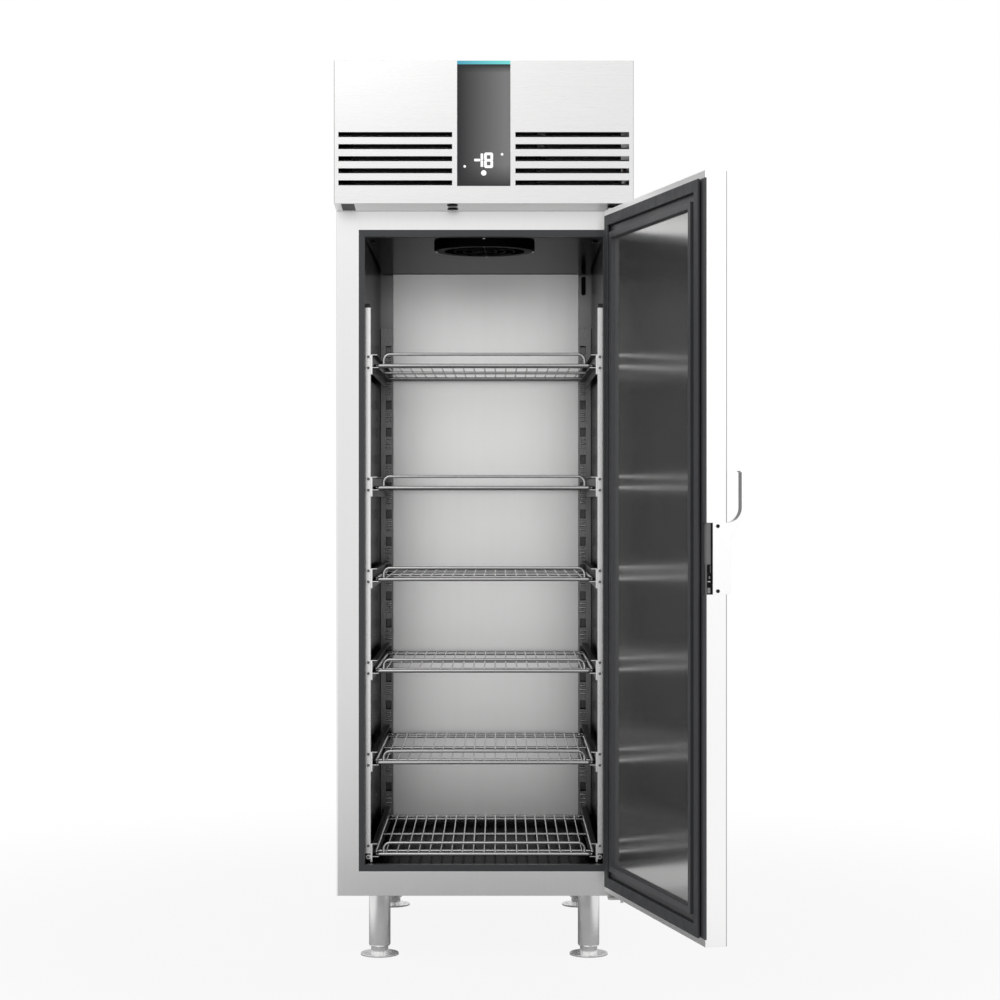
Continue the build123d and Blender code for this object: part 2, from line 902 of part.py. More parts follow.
def make_hinge_pins():
    low = body_bottom + lower_bracket_rise
    lower = rod_z(pivot_x, pivot_y, low, door_bottom + pin_reach, pin_diameter / 2)
    lower = lower + rod_z(pivot_x, pivot_y, low - pin_head_height, low, pin_head / 2)
    upper = rod_z(pivot_x, pivot_y, door_top - pin_reach, upper_bracket_top, pin_diameter / 2)
    return [lower, upper]


def make_hinge_bushes():
    bore = rod_z(pivot_x, pivot_y, 0, unit_top, pin_diameter / 2 + pin_play)
    low = rod_z(pivot_x, pivot_y, door_bottom, door_bottom + bush_depth, bush_radius)
    shoulder = rod_z(pivot_x, pivot_y, lower_plate_top + running_gap, door_bottom, bush_shoulder)
    high = rod_z(pivot_x, pivot_y, door_top - bush_depth, door_top, bush_radius)
    return [low + shoulder - bore, high - bore]


def bush_holes():
    depth = bush_depth + 1.0
    return [
        rod_z(pivot_x, pivot_y, door_bottom - 1, door_bottom + depth, bush_radius),
        rod_z(pivot_x, pivot_y, door_top - depth, door_top + 1, bush_radius),
    ]


def lock_recess():
    """The slot in the door's latch edge that holds the lock housing and its cover."""
    inner_x = -door_half + recess_depth
    cover_x = -door_half + lock_cover_depth
    housing_top = handle_z + lock_housing_height
    slot = block(-door_half - 1, cover_x, recess_front, door_inner + 1, handle_z, plate_top_z)
    pocket = block(-door_half - 1, inner_x, lock_housing_back, door_inner - door_frame_thickness,
                   handle_z, housing_top)
    mouth = block(-door_half - 1, -door_half + sheet, door_outer, recess_front,
                  handle_z - 1, plate_top_z + 1)
    return slot, pocket, mouth


def lock_bore(extra):
    radius = lock_cylinder_diameter / 2 + extra
    return rod_y(lock_x, lock_z, door_outer - handle_proud, recess_front + lock_room * 3, radius)


def make_door_skin():
    outer = block(-door_half, door_half, door_outer, door_inner, door_bottom, door_top)
    outer = round_front_edges(outer, door_bend)
    inner = block(-door_half + sheet, door_half - sheet, door_outer + sheet, door_inner - sheet,
                  door_bottom + sheet, door_top - sheet)
    inner = round_front_edges(inner, door_bend - sheet)
    mouth = block(-door_half + sheet, gasket_half, door_inner - 2, door_inner + 1,
                  door_bottom + gasket_margin, door_top - gasket_margin)
    edge = block(-door_half - 1, -door_half + sheet, recess_front, door_inner + 1,
                 handle_z, plate_top_z)
    rim = block(-door_half - 1, -door_half + sheet, door_inner - door_frame_thickness,
                door_inner + 1, door_bottom + gasket_margin, door_top - gasket_margin)
    cutters = [mouth, edge, rim, lock_bore(fit_gap)] + bush_holes() + handle_screw_shanks(fit_gap)
    return [less(outer - inner, cutters)]


def make_door_inner_frame():
    back = door_inner - door_frame_thickness
    ring = block(-door_half, gasket_half, back, door_inner,
                 door_bottom + gasket_margin, door_top - gasket_margin)
    hole = block(-frame_half, frame_half, back - 1, door_inner + 1, frame_bottom, frame_top)
    groove_back = door_inner - groove_depth
    groove_outer = block(-opening_half, opening_half, groove_back, door_inner + 1,
                         opening_bottom, opening_top)
    inside = groove_width
    groove_inner = block(-opening_half + inside, opening_half - inside, groove_back - 1,
                         door_inner + 2, opening_bottom + inside, opening_top - inside)
    slot, _, _ = lock_recess()
    rib = block(-rib_half, rib_half, back, door_inner + door_rib_height, rib_bottom, rib_top)
    rib = rib - block(-frame_half, frame_half, back - 1, door_inner + door_rib_height + 1,
                      frame_bottom, frame_top)
    return [less(ring, [hole, groove_outer - groove_inner, slot]) + rib]


def make_door_inner_panel():
    return [block(-frame_half, frame_half, door_inner - sheet, door_inner,
                  frame_bottom, frame_top)]


def make_door_gasket():
    outer = block(-gasket_half, gasket_half, door_inner, front_y - gasket_gap,
                  door_bottom + gasket_margin, door_top - gasket_margin)
    inner = block(-opening_half, opening_half, door_inner - 1, front_y + 1,
                  opening_bottom, opening_top)
    front_ring = outer.edges().group_by(Axis.Y)[-1]
    return [fillet(front_ring, gasket_round) - inner]


def make_door_insulation():
    foam = block(-door_half + sheet, door_half - sheet, door_outer + sheet,
                 door_inner - door_frame_thickness, door_bottom + sheet, door_top - sheet)
    foam = round_front_edges(foam, door_bend - sheet)
    raised = block(-frame_half, frame_half, door_inner - door_frame_thickness - 1,
                   door_inner - sheet, frame_bottom, frame_top)
    slot, pocket, _ = lock_recess()
    cutters = [slot, pocket, lock_bore(fit_gap)] + bush_holes() + handle_screw_shanks(fit_gap)
    return [less(foam + raised, cutters)]


def handle_screw_places():
    y = recess_front - handle_screw_inset
    low = handle_z + handle_screw_from_end
    high = plate_top_z - handle_screw_from_end
    return [(y, low), (y, high)]


def handle_screw_shanks(extra):
    end = -door_half - handle_wrap
    return [rod_x(y, z, end - 1, end + handle_screw_length + 1, handle_screw / 2 + extra)
            for y, z in handle_screw_places()]


def handle_profile():
    """The handle seen from the latch edge: a plate that flares into an upright finger hook."""
    face = door_outer
    proud = face - handle_plate_proud
    outer = face - handle_proud
    inside = outer + handle_wall
    flare_start = door_bottom + handle_flare_start
    flare_end = door_bottom + handle_flare_end
    top = door_bottom + handle_top
    curve = face - inside
    lines = [
        Line((face, handle_z), (proud, handle_z)),
        Line((proud, handle_z), (proud, flare_start)),
        Line((proud, flare_start), (outer, flare_end)),
        Line((outer, flare_end), (outer, top)),
        Line((outer, top), (outer + handle_wall + handle_curl, top)),
        Line((outer + handle_wall + handle_curl, top),
             (outer + handle_wall + handle_curl, top - handle_wall / 2)),
        Line((outer + handle_wall + handle_curl, top - handle_wall / 2),
             (inside, top - handle_wall)),
        Line((inside, top - handle_wall), (inside, plate_top_z + curve)),
        RadiusArc((inside, plate_top_z + curve), (face, plate_top_z), -curve),
        Line((face, plate_top_z), (face, handle_z)),
    ]
    return make_face(lines)


def make_door_handle():
    start = -door_half - handle_wrap
    profile = handle_profile()
    # The profile is drawn with Y across and Z up, then laid in the plane of the latch edge.
    upright = Plane(origin=(start, 0, 0), x_dir=(0, 1, 0), z_dir=(1, 0, 0)) * profile
    hook = extrude(upright, amount=handle_hook_width + handle_wrap, dir=(1, 0, 0))
    plate = block(start, -door_half + handle_width, door_outer - handle_plate_proud, door_outer,
                  handle_z, door_bottom + handle_flare_start)
    wrap = block(start, -door_half, door_outer - 1.0, recess_front, handle_z, plate_top_z)
    cutters = [lock_bore(fit_gap)] + handle_screw_shanks(fit_gap)
    return [less(hook + plate + wrap, cutters)]


def make_handle_screws():
    end = -door_half - handle_wrap
    pieces = []
    for y, z in handle_screw_places():
        head = rod_x(y, z, end - handle_screw_head_height, end, handle_screw_head / 2)
        pieces.append(head + rod_x(y, z, end - 1, end + handle_screw_length, handle_screw / 2))
    return pieces


def make_lock_case():
    gap = running_gap
    housing_top = handle_z + lock_housing_height
    inner_x = -door_half + recess_depth
    housing = block(-door_half + lock_room * 2, inner_x, lock_housing_back,
                    door_inner - door_frame_thickness - lock_room,
                    handle_z + gap, housing_top - gap)
    chamber_front = recess_front + lock_room
    chamber = block(lock_x - lock_chamber, lock_x + lock_chamber, chamber_front,
                    chamber_front + lock_cam_thickness + lock_room * 2,
                    lock_z - lock_chamber, lock_z + lock_chamber)
    housing = less(housing, [chamber, lock_bore(pin_play)])
    cover = block(-door_half + lock_room, -door_half + lock_cover_depth, recess_front + gap,
                  door_inner - door_frame_thickness, housing_top, plate_top_z - gap)
    screw_holes = handle_screw_shanks(fit_gap)
    return [less(housing, screw_holes), less(cover, screw_holes)]


def make_lock_cylinder():
    back = recess_front + lock_room * 2
    radius = lock_cylinder_diameter / 2
    barrel = rod_y(lock_x, lock_z, lock_face, back, radius)
    keyway = block(lock_x - keyway_width / 2, lock_x + keyway_width / 2, lock_face - 1,
                   lock_face + keyway_depth, lock_z - keyway_height / 2,
                   lock_z + keyway_height / 2)
    half_cam = lock_cam_width / 2
    cam = block(lock_x - half_cam, lock_x + half_cam, back - 0.5,
                back - 0.5 + lock_cam_thickness, lock_z - half_cam, lock_z + lock_cam_length)
    return [barrel - keyway + cam]


def underside_z(y):
    """Height of the fascia's sloping underside at a distance from the front."""
    share = (y - fascia_front) / (fascia_rear - fascia_front)
    return fascia_bottom - share * (fascia_front_rise - fascia_rear_rise)


def fascia_profile(inset, rear):
    front = fascia_front + inset
    low_front = underside_z(front) + inset
    low_rear = underside_z(rear) + inset
    top = unit_top - inset
    return [(front, low_front), (rear, low_rear), (rear, top), (front, top)]


def louvre_slots():
    """Centre height of each row and the two spans of its slots."""
    left = (-half_width + louvre_margin, -panel_width / 2 - louvre_from_panel)
    right = (-left[1], -left[0])
    rows = [body_top + louvre_lowest + louvre_pitch * n for n in range(louvre_count)]
    return [(z, span) for z in rows for span in (left, right)]


def make_fascia_panel():
    outer = prism_x(fascia_profile(0.0, fascia_rear), -half_width, half_width)
    outer = round_front_edges(outer, fascia_bend)
    top_rear = outer.edges().filter_by(Axis.X).sort_by(lambda e: e.center().Y + e.center().Z)[-1]
    outer = fillet(top_rear, fascia_hinge_radius - 0.1)
    inner = prism_x(fascia_profile(fascia_sheet, fascia_rear + 5.0),
                    -half_width + fascia_sheet, half_width - fascia_sheet)
    shell = outer - inner
    front = fascia_front - 1
    back = fascia_front + fascia_sheet
    cutters = []
    for z, (x0, x1) in louvre_slots():
        cutters.append(block(x0, x1, front, back + 1, z - louvre_height / 2, z + louvre_height / 2))
    cutters.append(block(-panel_width / 2, panel_width / 2, front, glass_back,
                         body_top + panel_bottom, unit_top + 1))
    cutters.append(rod_x(fascia_axis_y, fascia_axis_z, -half_width - 1, half_width + 1,
                         fascia_pin / 2 + pin_play))
    cutters += switch_body() + catch_bodies()
    shell = less(shell, cutters)
    for z, (x0, x1) in louvre_slots():
        low = z - louvre_height / 2
        deep = back + louvre_lip_depth
        under = louvre_lip_sheet
        lip = prism_x([(back - 0.2, low - under), (back - 0.2, low),
                       (deep, low + louvre_lip_rise), (deep, low + louvre_lip_rise - under)],
                      x0, x1)
        shell = shell + lip
    return [shell]


def switch_body():
    """The dark switch strip in the fascia's underside, above the door's latch side."""
    x0 = -half_width + switch_from_edge
    y0 = fascia_front + switch_margin
    y1 = fascia_rear - switch_margin
    z0 = underside_z(y0)
    z1 = underside_z(y1)
    points = [(y0, z0), (y1, z1), (y1, z1 + switch_thickness), (y0, z0 + switch_thickness)]
    return [prism_x(points, x0, x0 + switch_width)]


def catch_bodies():
    pieces = []
    for row in catch_rows:
        y = fascia_front + row
        z = underside_z(y)
        pieces.append(rod_z(catch_x, y, z - catch_proud, z + catch_height, catch_diameter / 2))
    return pieces


def make_control_panel():
    front = fascia_front - panel_proud
    glass = block(-panel_width / 2, panel_width / 2, front, glass_back,
                  body_top + panel_bottom, unit_top - light_bar_height)
    edges = glass.edges().filter_by(Axis.Z).group_by(Axis.Y)[0]
    return [fillet(edges, panel_edge_round)]


def make_light_bar():
    front = fascia_front - panel_proud
    bar = block(-panel_width / 2, panel_width / 2, front, glass_back,
                unit_top - light_bar_height, unit_top)
    return [fillet(bar.edges().filter_by(Axis.Z).group_by(Axis.Y)[0], panel_edge_round)]


def make_control_board():
    low = body_top + panel_bottom + board_rise
    return [block(-board_width / 2, board_width / 2, glass_back, glass_back + board_thickness,
                  low, low + board_height)]


def make_unit_side_panels():
    """The unit's sides, each with an ear and a pin on which the fascia hangs."""
    side = block(skin_half, half_width, front_y, rear_y, body_top, unit_top)
    ear_out = half_width - fascia_sheet - ear_side_gap
    ear_in = ear_out - ear_thickness
    ear_low = fascia_axis_z - ear_reach
    lug_radius = fascia_pin / 2 + ear_lug_wall
    arm = block(ear_in, ear_out, fascia_axis_y - lug_radius, front_y + ear_arm_rear,
                ear_low, ear_low + ear_arm)
    lug = block(ear_in, ear_out, fascia_axis_y - lug_radius, fascia_axis_y + lug_radius,
                ear_low, fascia_axis_z)
    tip = rod_x(fascia_axis_y, fascia_axis_z, ear_in, ear_out, lug_radius)
    root = block(ear_in, skin_half + 0.2, front_y + sheet * 2, front_y + ear_arm_rear,
                 ear_low, ear_low + ear_arm)
    pin = rod_x(fascia_axis_y, fascia_axis_z, ear_out - 1, half_width - 0.1, fascia_pin / 2)
    return both_sides(side + arm + lug + tip + root + pin)


def make_unit_top_cover():
    front = front_y + sheet * 2
    plate = block(-skin_half, skin_half, front, skin_rear, unit_top - sheet, unit_top)
    slots = []
    half_slot = vent_width / 2
    for n in range(top_vents):
        y = rear_y - vent_from_edge - n * top_vent_pitch
        slots.append(block(service_x - vent_length / 2, service_x + vent_length / 2,
                           y - half_slot, y + half_slot, unit_top - 5, unit_top + 5))
    lip_half = skin_half - cover_lip_inset
    front_lip = block(-lip_half, lip_half, front, front + sheet, unit_top - cover_lip, unit_top)
    return [less(plate + front_lip, slots)]


def make_unit_rear_panel():
    plate = block(-skin_half, skin_half, skin_rear, rear_y, body_top, unit_top - sheet)
    top_z = unit_top - sheet
    cuts = []
    half_slot = vent_width / 2
    for n in range(rear_vents):
        z = top_z - vent_from_edge - n * rear_vent_pitch
        cuts.append(block(service_x - vent_length / 2, service_x + vent_length / 2,
                          skin_rear - 1, rear_y + 1, z - half_slot, z + half_slot))
    cuts.append(inlet_block(-fit_gap, skin_rear - 1, rear_y + 1))
    return [less(plate, cuts)]


def inlet_block(inset, y0, y1):
    """A block on the mains inlet's outline, smaller by the inset on every side."""
    half_w = inlet_width / 2 - inset
    half_h = inlet_height / 2 - inset
    return block(inlet_x - half_w, inlet_x + half_w, y0, y1, inlet_z - half_h, inlet_z + half_h)


def make_mains_inlet():
    face = rear_y + inlet_bezel_proud
    body = inlet_block(0.0, rear_y - inlet_depth, face)
    bezel = inlet_block(-inlet_bezel, rear_y, face)
    half_w = inlet_width / 2 - inlet_socket_side
    half_h = inlet_height / 2 - inlet_socket_end
    floor = rear_y - inlet_socket_depth
    socket = block(inlet_x - half_w, inlet_x + half_w, floor, face + 1,
                   inlet_z - half_h, inlet_z + half_h)
    piece = body + bezel - socket
    for n in (-1, 0, 1):
        x = inlet_x + n * inlet_blade_pitch
        piece = piece + block(x - inlet_blade / 2, x + inlet_blade / 2, floor - 1,
                              rear_y - inlet_blade_setback, inlet_z - inlet_blade_height / 2,
                              inlet_z + inlet_blade_height / 2)
    return [piece]


def make_fan_ring():
    """The shroud round the ceiling fan, with the tube that carries its air up to the unit."""
    low = liner_top - fan_ring_drop
    outer = fan_ring_diameter / 2
    bore = fan_bore / 2
    tube = fan_tube_radius
    wall = fan_ring_wall
    profile = [
        (bore, low), (outer - lip_round, low), (outer - lip_round_middle, low + lip_round_middle),
        (outer, low + lip_round), (outer, liner_top), (outer - wall, liner_top),
        (outer - wall, low + wall * 2), (tube, low + wall * 2), (tube, body_top + fan_tube_rise),
        (bore, body_top + fan_tube_rise),
    ]
    ring = turned(profile, 0, fan_y)
    bars = []
    for n in range(guard_bars):
        bar = Pos(bore / 2 + 1.0, 0, low + guard_wire / 2) * Box(bore, guard_bar, guard_wire)
        bars.append(Pos(0, fan_y, 0) * Rot(0, 0, 45 + 360 / guard_bars * n) * bar)
    for bar in bars:
        ring = ring + bar
    for radius in guard_hoops:
        hoop = rod_z(0, fan_y, low, low + guard_wire, radius)
        ring = ring + (hoop - rod_z(0, fan_y, low - 1, low + guard_wire + 1, radius - guard_wire))
    return [ring]


def fan_blade(radius, length, hub_radius):
    """A fan wheel about the Z axis, its lowest point at z = 0."""
    hub = rod_z(0, 0, 0, length, hub_radius)
    wheel = hub
    for n in range(fan_blades):
        plate = Pos((radius + hub_radius) / 2 - 2, 0, length / 2) * Rot(fan_blade_pitch, 0, 0)
        blade = plate * Box(radius - hub_radius + 4, length * 1.7, fan_blade_sheet)
        wheel = wheel + Rot(0, 0, 360.0 / fan_blades * n) * blade
    limit = rod_z(0, 0, 0, length, radius)
    return wheel & limit


def make_evaporator_fan_blade():
    low = liner_top + evaporator_wheel_rise
    high = low + evaporator_wheel_height
    wheel = fan_blade(fan_bore / 2 - fan_blade_gap, evaporator_wheel_height, fan_hub / 2)
    wheel = Pos(0, fan_y, low) * wheel
    return [wheel - rod_z(0, fan_y, low - 1, high + 1, fan_shaft / 2 + fit_gap)]


def make_evaporator_fan_motor():
    low = liner_top + evaporator_motor_rise
    high = low + evaporator_motor_height
    motor = rod_z(0, fan_y, low, high, evaporator_motor / 2)
    shaft = rod_z(0, fan_y, liner_top + evaporator_wheel_rise * 2, low + 1, fan_shaft / 2)
    piece = motor + shaft
    for n in range(3):
        arm = Box(fan_bore / 2 + 2.0, motor_arm_width, motor_arm_thickness)
        arm = Pos(fan_bore / 4 + 1.0, 0, low + motor_arm_thickness) * arm
        piece = piece + Pos(0, fan_y, 0) * Rot(0, 0, 90 + 120 * n) * arm
    return [piece & rod_z(0, fan_y, liner_top, high + 1, fan_bore / 2)]


def make_evaporator_box():
    outer = block(box_left, box_right, box_front, box_rear, body_top, body_top + box_height)
    inner = block(box_left + box_wall, box_right - box_wall, box_front + box_wall,
                  box_rear - box_wall, body_top - 1, body_top + box_height - box_wall)
    outer = fillet(outer.edges().filter_by(Axis.Z), box_corner)
    return [outer - inner]


def make_evaporator_coil():
    left = box_left + box_wall + coil_side_gap
    right = box_right - box_wall - coil_box_gap
    rear = rear_y - coil_from_rear
    front = rear - coil_depth
    low = body_top + coil_rise
    coil = block(left, right, front, rear, low, low + coil_height)
    for y in (front, rear - coil_plate):
        coil = coil + block(left, right, y, y + coil_plate, body_top, low + 1)
    for row in range(coil_rows):
        z = low + coil_height * (row + 0.5) / coil_rows
        for column in range(coil_columns):
            y = front + coil_depth * (column + 0.5) / coil_columns
            coil = coil + return_bend(left, y, z)
    return [coil]


def return_bend(x, y, z):
    """A return bend between two tubes of a coil. Its other half lies within the coil."""
    return Pos(x, y, z) * Torus(return_bend_radius, pipe_diameter / 2)


def make_condenser_coil():
    left = condenser_left
    right = condenser_right
    low = body_top + condenser_rise
    top = body_top + condenser_height
    core = block(left + condenser_plate, right - condenser_plate, condenser_front,
                 condenser_rear, low, top)
    for x in (left, right - condenser_plate):
        core = core + block(x, x + condenser_plate, condenser_front, condenser_rear, body_top, top)
    fins = []
    pitch = (right - left - 2 * condenser_plate) / condenser_fins
    for n in range(condenser_fins):
        x = left + condenser_plate + pitch * (n + 1 - fin_share)
        fins.append(block(x, x + pitch * fin_share, condenser_front - 1, condenser_front + fin_depth,
                          low + 2, top - 2))
    core = core - Compound(solids_of(fins))
    for row in range(condenser_rows):
        z = low + (top - low) * (row + 0.5) / condenser_rows
        core = core + return_bend(left, (condenser_front + condenser_rear) / 2, z)
    return [core]


def make_condenser_fan_housing():
    front = condenser_rear
    x, z = condenser_fan_x, condenser_fan_z
    bore = condenser_fan_bore / 2
    plate = block(condenser_left, condenser_right, front, front + shroud_sheet,
                  body_top, body_top + condenser_height)
    end = front + condenser_ring_length
    housing = plate + rod_y(x, z, front, end, bore + shroud_sheet)
    housing = housing - rod_y(x, z, front - 1, end + 1, bore)
    motor_front = end + 1.0
    housing = housing + rod_y(x, z, motor_front, motor_front + condenser_motor_depth,
                              condenser_motor / 2)
    housing = housing + rod_y(x, z, front + shroud_sheet * 3, motor_front + 1, fan_shaft / 2)
    for n in range(4):
        arm = Box(bore + 2.0, condenser_arm_width, condenser_arm_thickness)
        arm = Pos(bore / 2 + 1.0, 0, 0) * arm
        arm = Rot(0, 0, 45 + 90 * n) * arm
        housing = housing + Pos(x, end - 1.0, z) * Rot(90, 0, 0) * arm
    return [housing]


def make_condenser_fan_blade():
    x, z = condenser_fan_x, condenser_fan_z
    wheel = fan_blade(condenser_fan_bore / 2 - fan_blade_gap, condenser_wheel_depth,
                      condenser_hub / 2)
    back = condenser_rear + condenser_ring_length - condenser_wheel_setback
    wheel = Pos(x, back, z) * Rot(90, 0, 0) * wheel
    return [wheel - rod_y(x, z, back - 30, back + 5, fan_shaft / 2 + fit_gap)]


def make_compressor():
    x, y = service_x, compressor_y
    low = body_top + mount_height
    radius = compressor_diameter / 2
    high = low + compressor_height
    can = rod_z(x, y, low + compressor_base, high, radius)
    can = fillet(can.edges().group_by(Axis.Z)[-1], compressor_dome)
    half_base = radius + compressor_base_side
    half_length = radius + compressor_base_end
    base = block(x - half_base, x + half_base, y - half_length, y + half_length,
                 low, low + compressor_base)
    cover = block(x - terminal_cover_width / 2, x + terminal_cover_width / 2,
                  y - radius - terminal_cover_proud, y - radius + terminal_cover_proud,
                  low + terminal_cover_bottom, low + terminal_cover_top)
    discharge = rod_x(y, stub_z, x, x + compressor_reach, stub_diameter / 2)
    suction = rod_x(y, stub_z - suction_drop, x - compressor_reach, x, suction_stub / 2)
    return [can + base + cover + discharge + suction]


def make_compressor_mounts():
    x, y = service_x, compressor_y
    dx = compressor_diameter / 2 - mount_inset
    dy = compressor_diameter / 2 - mount_inset_end
    pieces = []
    for sx in (-1, 1):
        for sy in (-1, 1):
            mount = rod_z(x + sx * dx, y + sy * dy, body_top, body_top + mount_height,
                          mount_diameter / 2)
            pieces.append(fillet(mount.edges().group_by(Axis.Z)[-1], mount_round))
    return pieces


def bent_pipe(points, radius, bend):
    path = FilletPolyline(*points, radius=bend)
    start = Vector(*points[0])
    section = Plane(start, z_dir=Vector(*points[1]) - start) * Circle(radius)
    return sweep(section, path=path)


def make_refrigerant_pipes():
    radius = pipe_diameter / 2
    stub_x = service_x + compressor_reach
    side_x = half_width - pipe_side_gap
    middle = (condenser_front + condenser_rear) / 2
    discharge = bent_pipe([(stub_x, compressor_y, stub_z), (side_x, compressor_y, stub_z),
                           (side_x, middle, stub_z), (condenser_right, middle, stub_z)],
                          radius, pipe_bend)
    drier_x = half_width - drier_from_right
    drier_y = condenser_rear + drier_setback
    drier_low = body_top + drier_rise
    drier_top = drier_low + drier_length
    drier_radius = drier_diameter / 2
    pipe_low = body_top + liquid_pipe_rise
    liquid = bent_pipe([(condenser_right, middle, pipe_low), (side_x, middle, pipe_low),
                        (side_x, drier_y, pipe_low), (drier_x, drier_y, pipe_low),
                        (drier_x, drier_y, drier_low)], radius, pipe_bend)
    drier = turned([(0, drier_low), (drier_inlet / 2, drier_low),
                    (drier_radius, drier_low + drier_taper),
                    (drier_radius, drier_top - drier_taper), (capillary, drier_top),
                    (0, drier_top)], drier_x, drier_y)
    top_z = drier_top + capillary_rise
    thin_pipe = bent_pipe([(drier_x, drier_y, drier_top), (drier_x, drier_y, top_z),
                           (box_right, drier_y, top_z)], capillary / 2, capillary_bend)
    suction = rod_x(compressor_y, stub_z - suction_drop, box_right,
                    service_x - compressor_reach, suction_pipe / 2)
    return [discharge, liquid, drier, thin_pipe, suction]


def make_condensate_tray():
    x0 = service_x - tray_width / 2
    y0 = tray_y - tray_depth / 2
    wall = tray_wall
    outer = block(x0, x0 + tray_width, y0, y0 + tray_depth, body_top, body_top + tray_height)
    inner = block(x0 + wall, x0 + tray_width - wall, y0 + wall, y0 + tray_depth - wall,
                  body_top + wall, body_top + tray_height + 1)
    drain_z = body_top + drain_rise
    drain_x = x0 + drain_reach
    tube = bent_pipe([(box_right, tray_y, drain_z), (drain_x, tray_y, drain_z),
                      (drain_x, tray_y, body_top + drain_end)], drain_diameter / 2, drain_bend)
    return [outer - inner, tube]


def make_control_box():
    x0 = service_x - control_box_width / 2
    y0 = front_y + control_box_from_front
    box = block(x0, x0 + control_box_width - control_box_side_gap, y0, y0 + control_box_depth,
                body_top, body_top + control_box_height)
    return [fillet(box.edges().filter_by(Axis.Z), control_box_corner)]


def make_all():
    os.makedirs("parts", exist_ok=True)
    save("outer_casing", make_outer_casing())
    save("back_panel", make_back_panel())
    save("base_panel", make_base_panel())
    save("top_deck", make_top_deck())
    save("inner_liner", make_inner_liner())
    save("insulation", make_insulation())
    save("breaker_frame", make_breaker_frame())
    save("frame_heater", make_frame_heater())
    save("ceiling_panel", make_ceiling_panel())
    save("rear_air_duct", make_rear_air_duct())
    save("shelf_uprights", make_uprights())
    save("upright_caps", make_upright_caps())
    save("shelf_runners", make_shelf_runners())
    save("fixing_screws", make_fixing_screws())
    save("legs", make_legs())
    save("hinge_brackets", make_hinge_brackets())
    save("hinge_pins", make_hinge_pins())
    save("evaporator_fan_ring", make_fan_ring())
    save("evaporator_fan_motor", make_evaporator_fan_motor())
    save("evaporator_fan_blade", make_evaporator_fan_blade())
    save("evaporator_box", make_evaporator_box())
    save("evaporator_coil", make_evaporator_coil())
    save("condenser_coil", make_condenser_coil())
    save("condenser_fan_housing", make_condenser_fan_housing())
    save("condenser_fan_blade", make_condenser_fan_blade())
    save("compressor", make_compressor())
    save("compressor_mounts", make_compressor_mounts())
    save("refrigerant_pipes", make_refrigerant_pipes())
    save("condensate_tray", make_condensate_tray())
    save("control_box", make_control_box())
    save("mains_inlet", make_mains_inlet())
    save("unit_side_panels", make_unit_side_panels())
    save("unit_rear_panel", make_unit_rear_panel())
    save("unit_top_cover", make_unit_top_cover())
    save("fascia_panel", make_fascia_panel())
    save("door_switch", switch_body())
    save("fascia_catches", catch_bodies())
    save("control_panel", make_control_panel())
    save("light_bar", make_light_bar())
    save("control_board", make_control_board())
    save("door_skin", swung(make_door_skin()))
    save("door_insulation", swung(make_door_insulation()))
    save("door_inner_frame", swung(make_door_inner_frame()))
    save("door_inner_panel", swung(make_door_inner_panel()))
    save("door_gasket", swung(make_door_gasket()))
    save("door_handle", swung(make_door_handle()))
    save("handle_screws", swung(make_handle_screws()))
    save("lock_case", swung(make_lock_case()))
    save("lock_cylinder", swung(make_lock_cylinder()))
    save("hinge_bushes", swung(make_hinge_bushes()))
    shelf = shelf_at_floor()
    for number, height in enumerate(shelf_heights, start=1):
        save(f"shelf_{number}", [Pos(0, 0, height) * piece for piece in shelf])
    corners = ("foot_rear_left", "foot_front_left", "foot_rear_right", "foot_front_right")
    for name, (x, y) in zip(corners, [(-leg_x, leg_y), (-leg_x, -leg_y), (leg_x, leg_y),
                                      (leg_x, -leg_y)]):
        save(name, make_foot(x, y))


make_all()
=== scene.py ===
import bpy
import bmesh
import math
from mathutils import Matrix, Vector


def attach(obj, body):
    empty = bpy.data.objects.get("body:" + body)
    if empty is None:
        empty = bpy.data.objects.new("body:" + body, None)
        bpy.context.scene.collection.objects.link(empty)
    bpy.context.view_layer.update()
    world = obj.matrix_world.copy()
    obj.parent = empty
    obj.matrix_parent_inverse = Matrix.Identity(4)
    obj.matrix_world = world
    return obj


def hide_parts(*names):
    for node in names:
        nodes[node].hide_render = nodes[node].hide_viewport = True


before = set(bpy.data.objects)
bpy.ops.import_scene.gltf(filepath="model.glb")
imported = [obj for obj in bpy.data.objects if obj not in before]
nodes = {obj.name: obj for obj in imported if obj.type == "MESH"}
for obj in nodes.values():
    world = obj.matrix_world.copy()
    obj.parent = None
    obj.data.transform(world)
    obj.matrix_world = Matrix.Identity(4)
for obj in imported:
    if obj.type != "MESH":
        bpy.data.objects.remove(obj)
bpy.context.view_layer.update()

MM = 0.001
WHITE = (1.0, 1.0, 1.0, 1.0)

# Camera
CAMERA_PLACE = (0.0379, -5.754, 1.092)
CAMERA_LENS = 81.54
CAMERA_SENSOR = 36.0
CAMERA_SHIFT_Y = -0.002
CAMERA_REACH = 100.0

# Lamps: name, place, size and power
LAMPS = (("key", (-1.5, -4.0, 4.0), (3.0, 2.0), 25.0), ("fill", (3.0, -3.5, 2.5), (2.5, 2.5), 10.0))
LAMP_TARGET = (0.0, 0.0, 1.0)

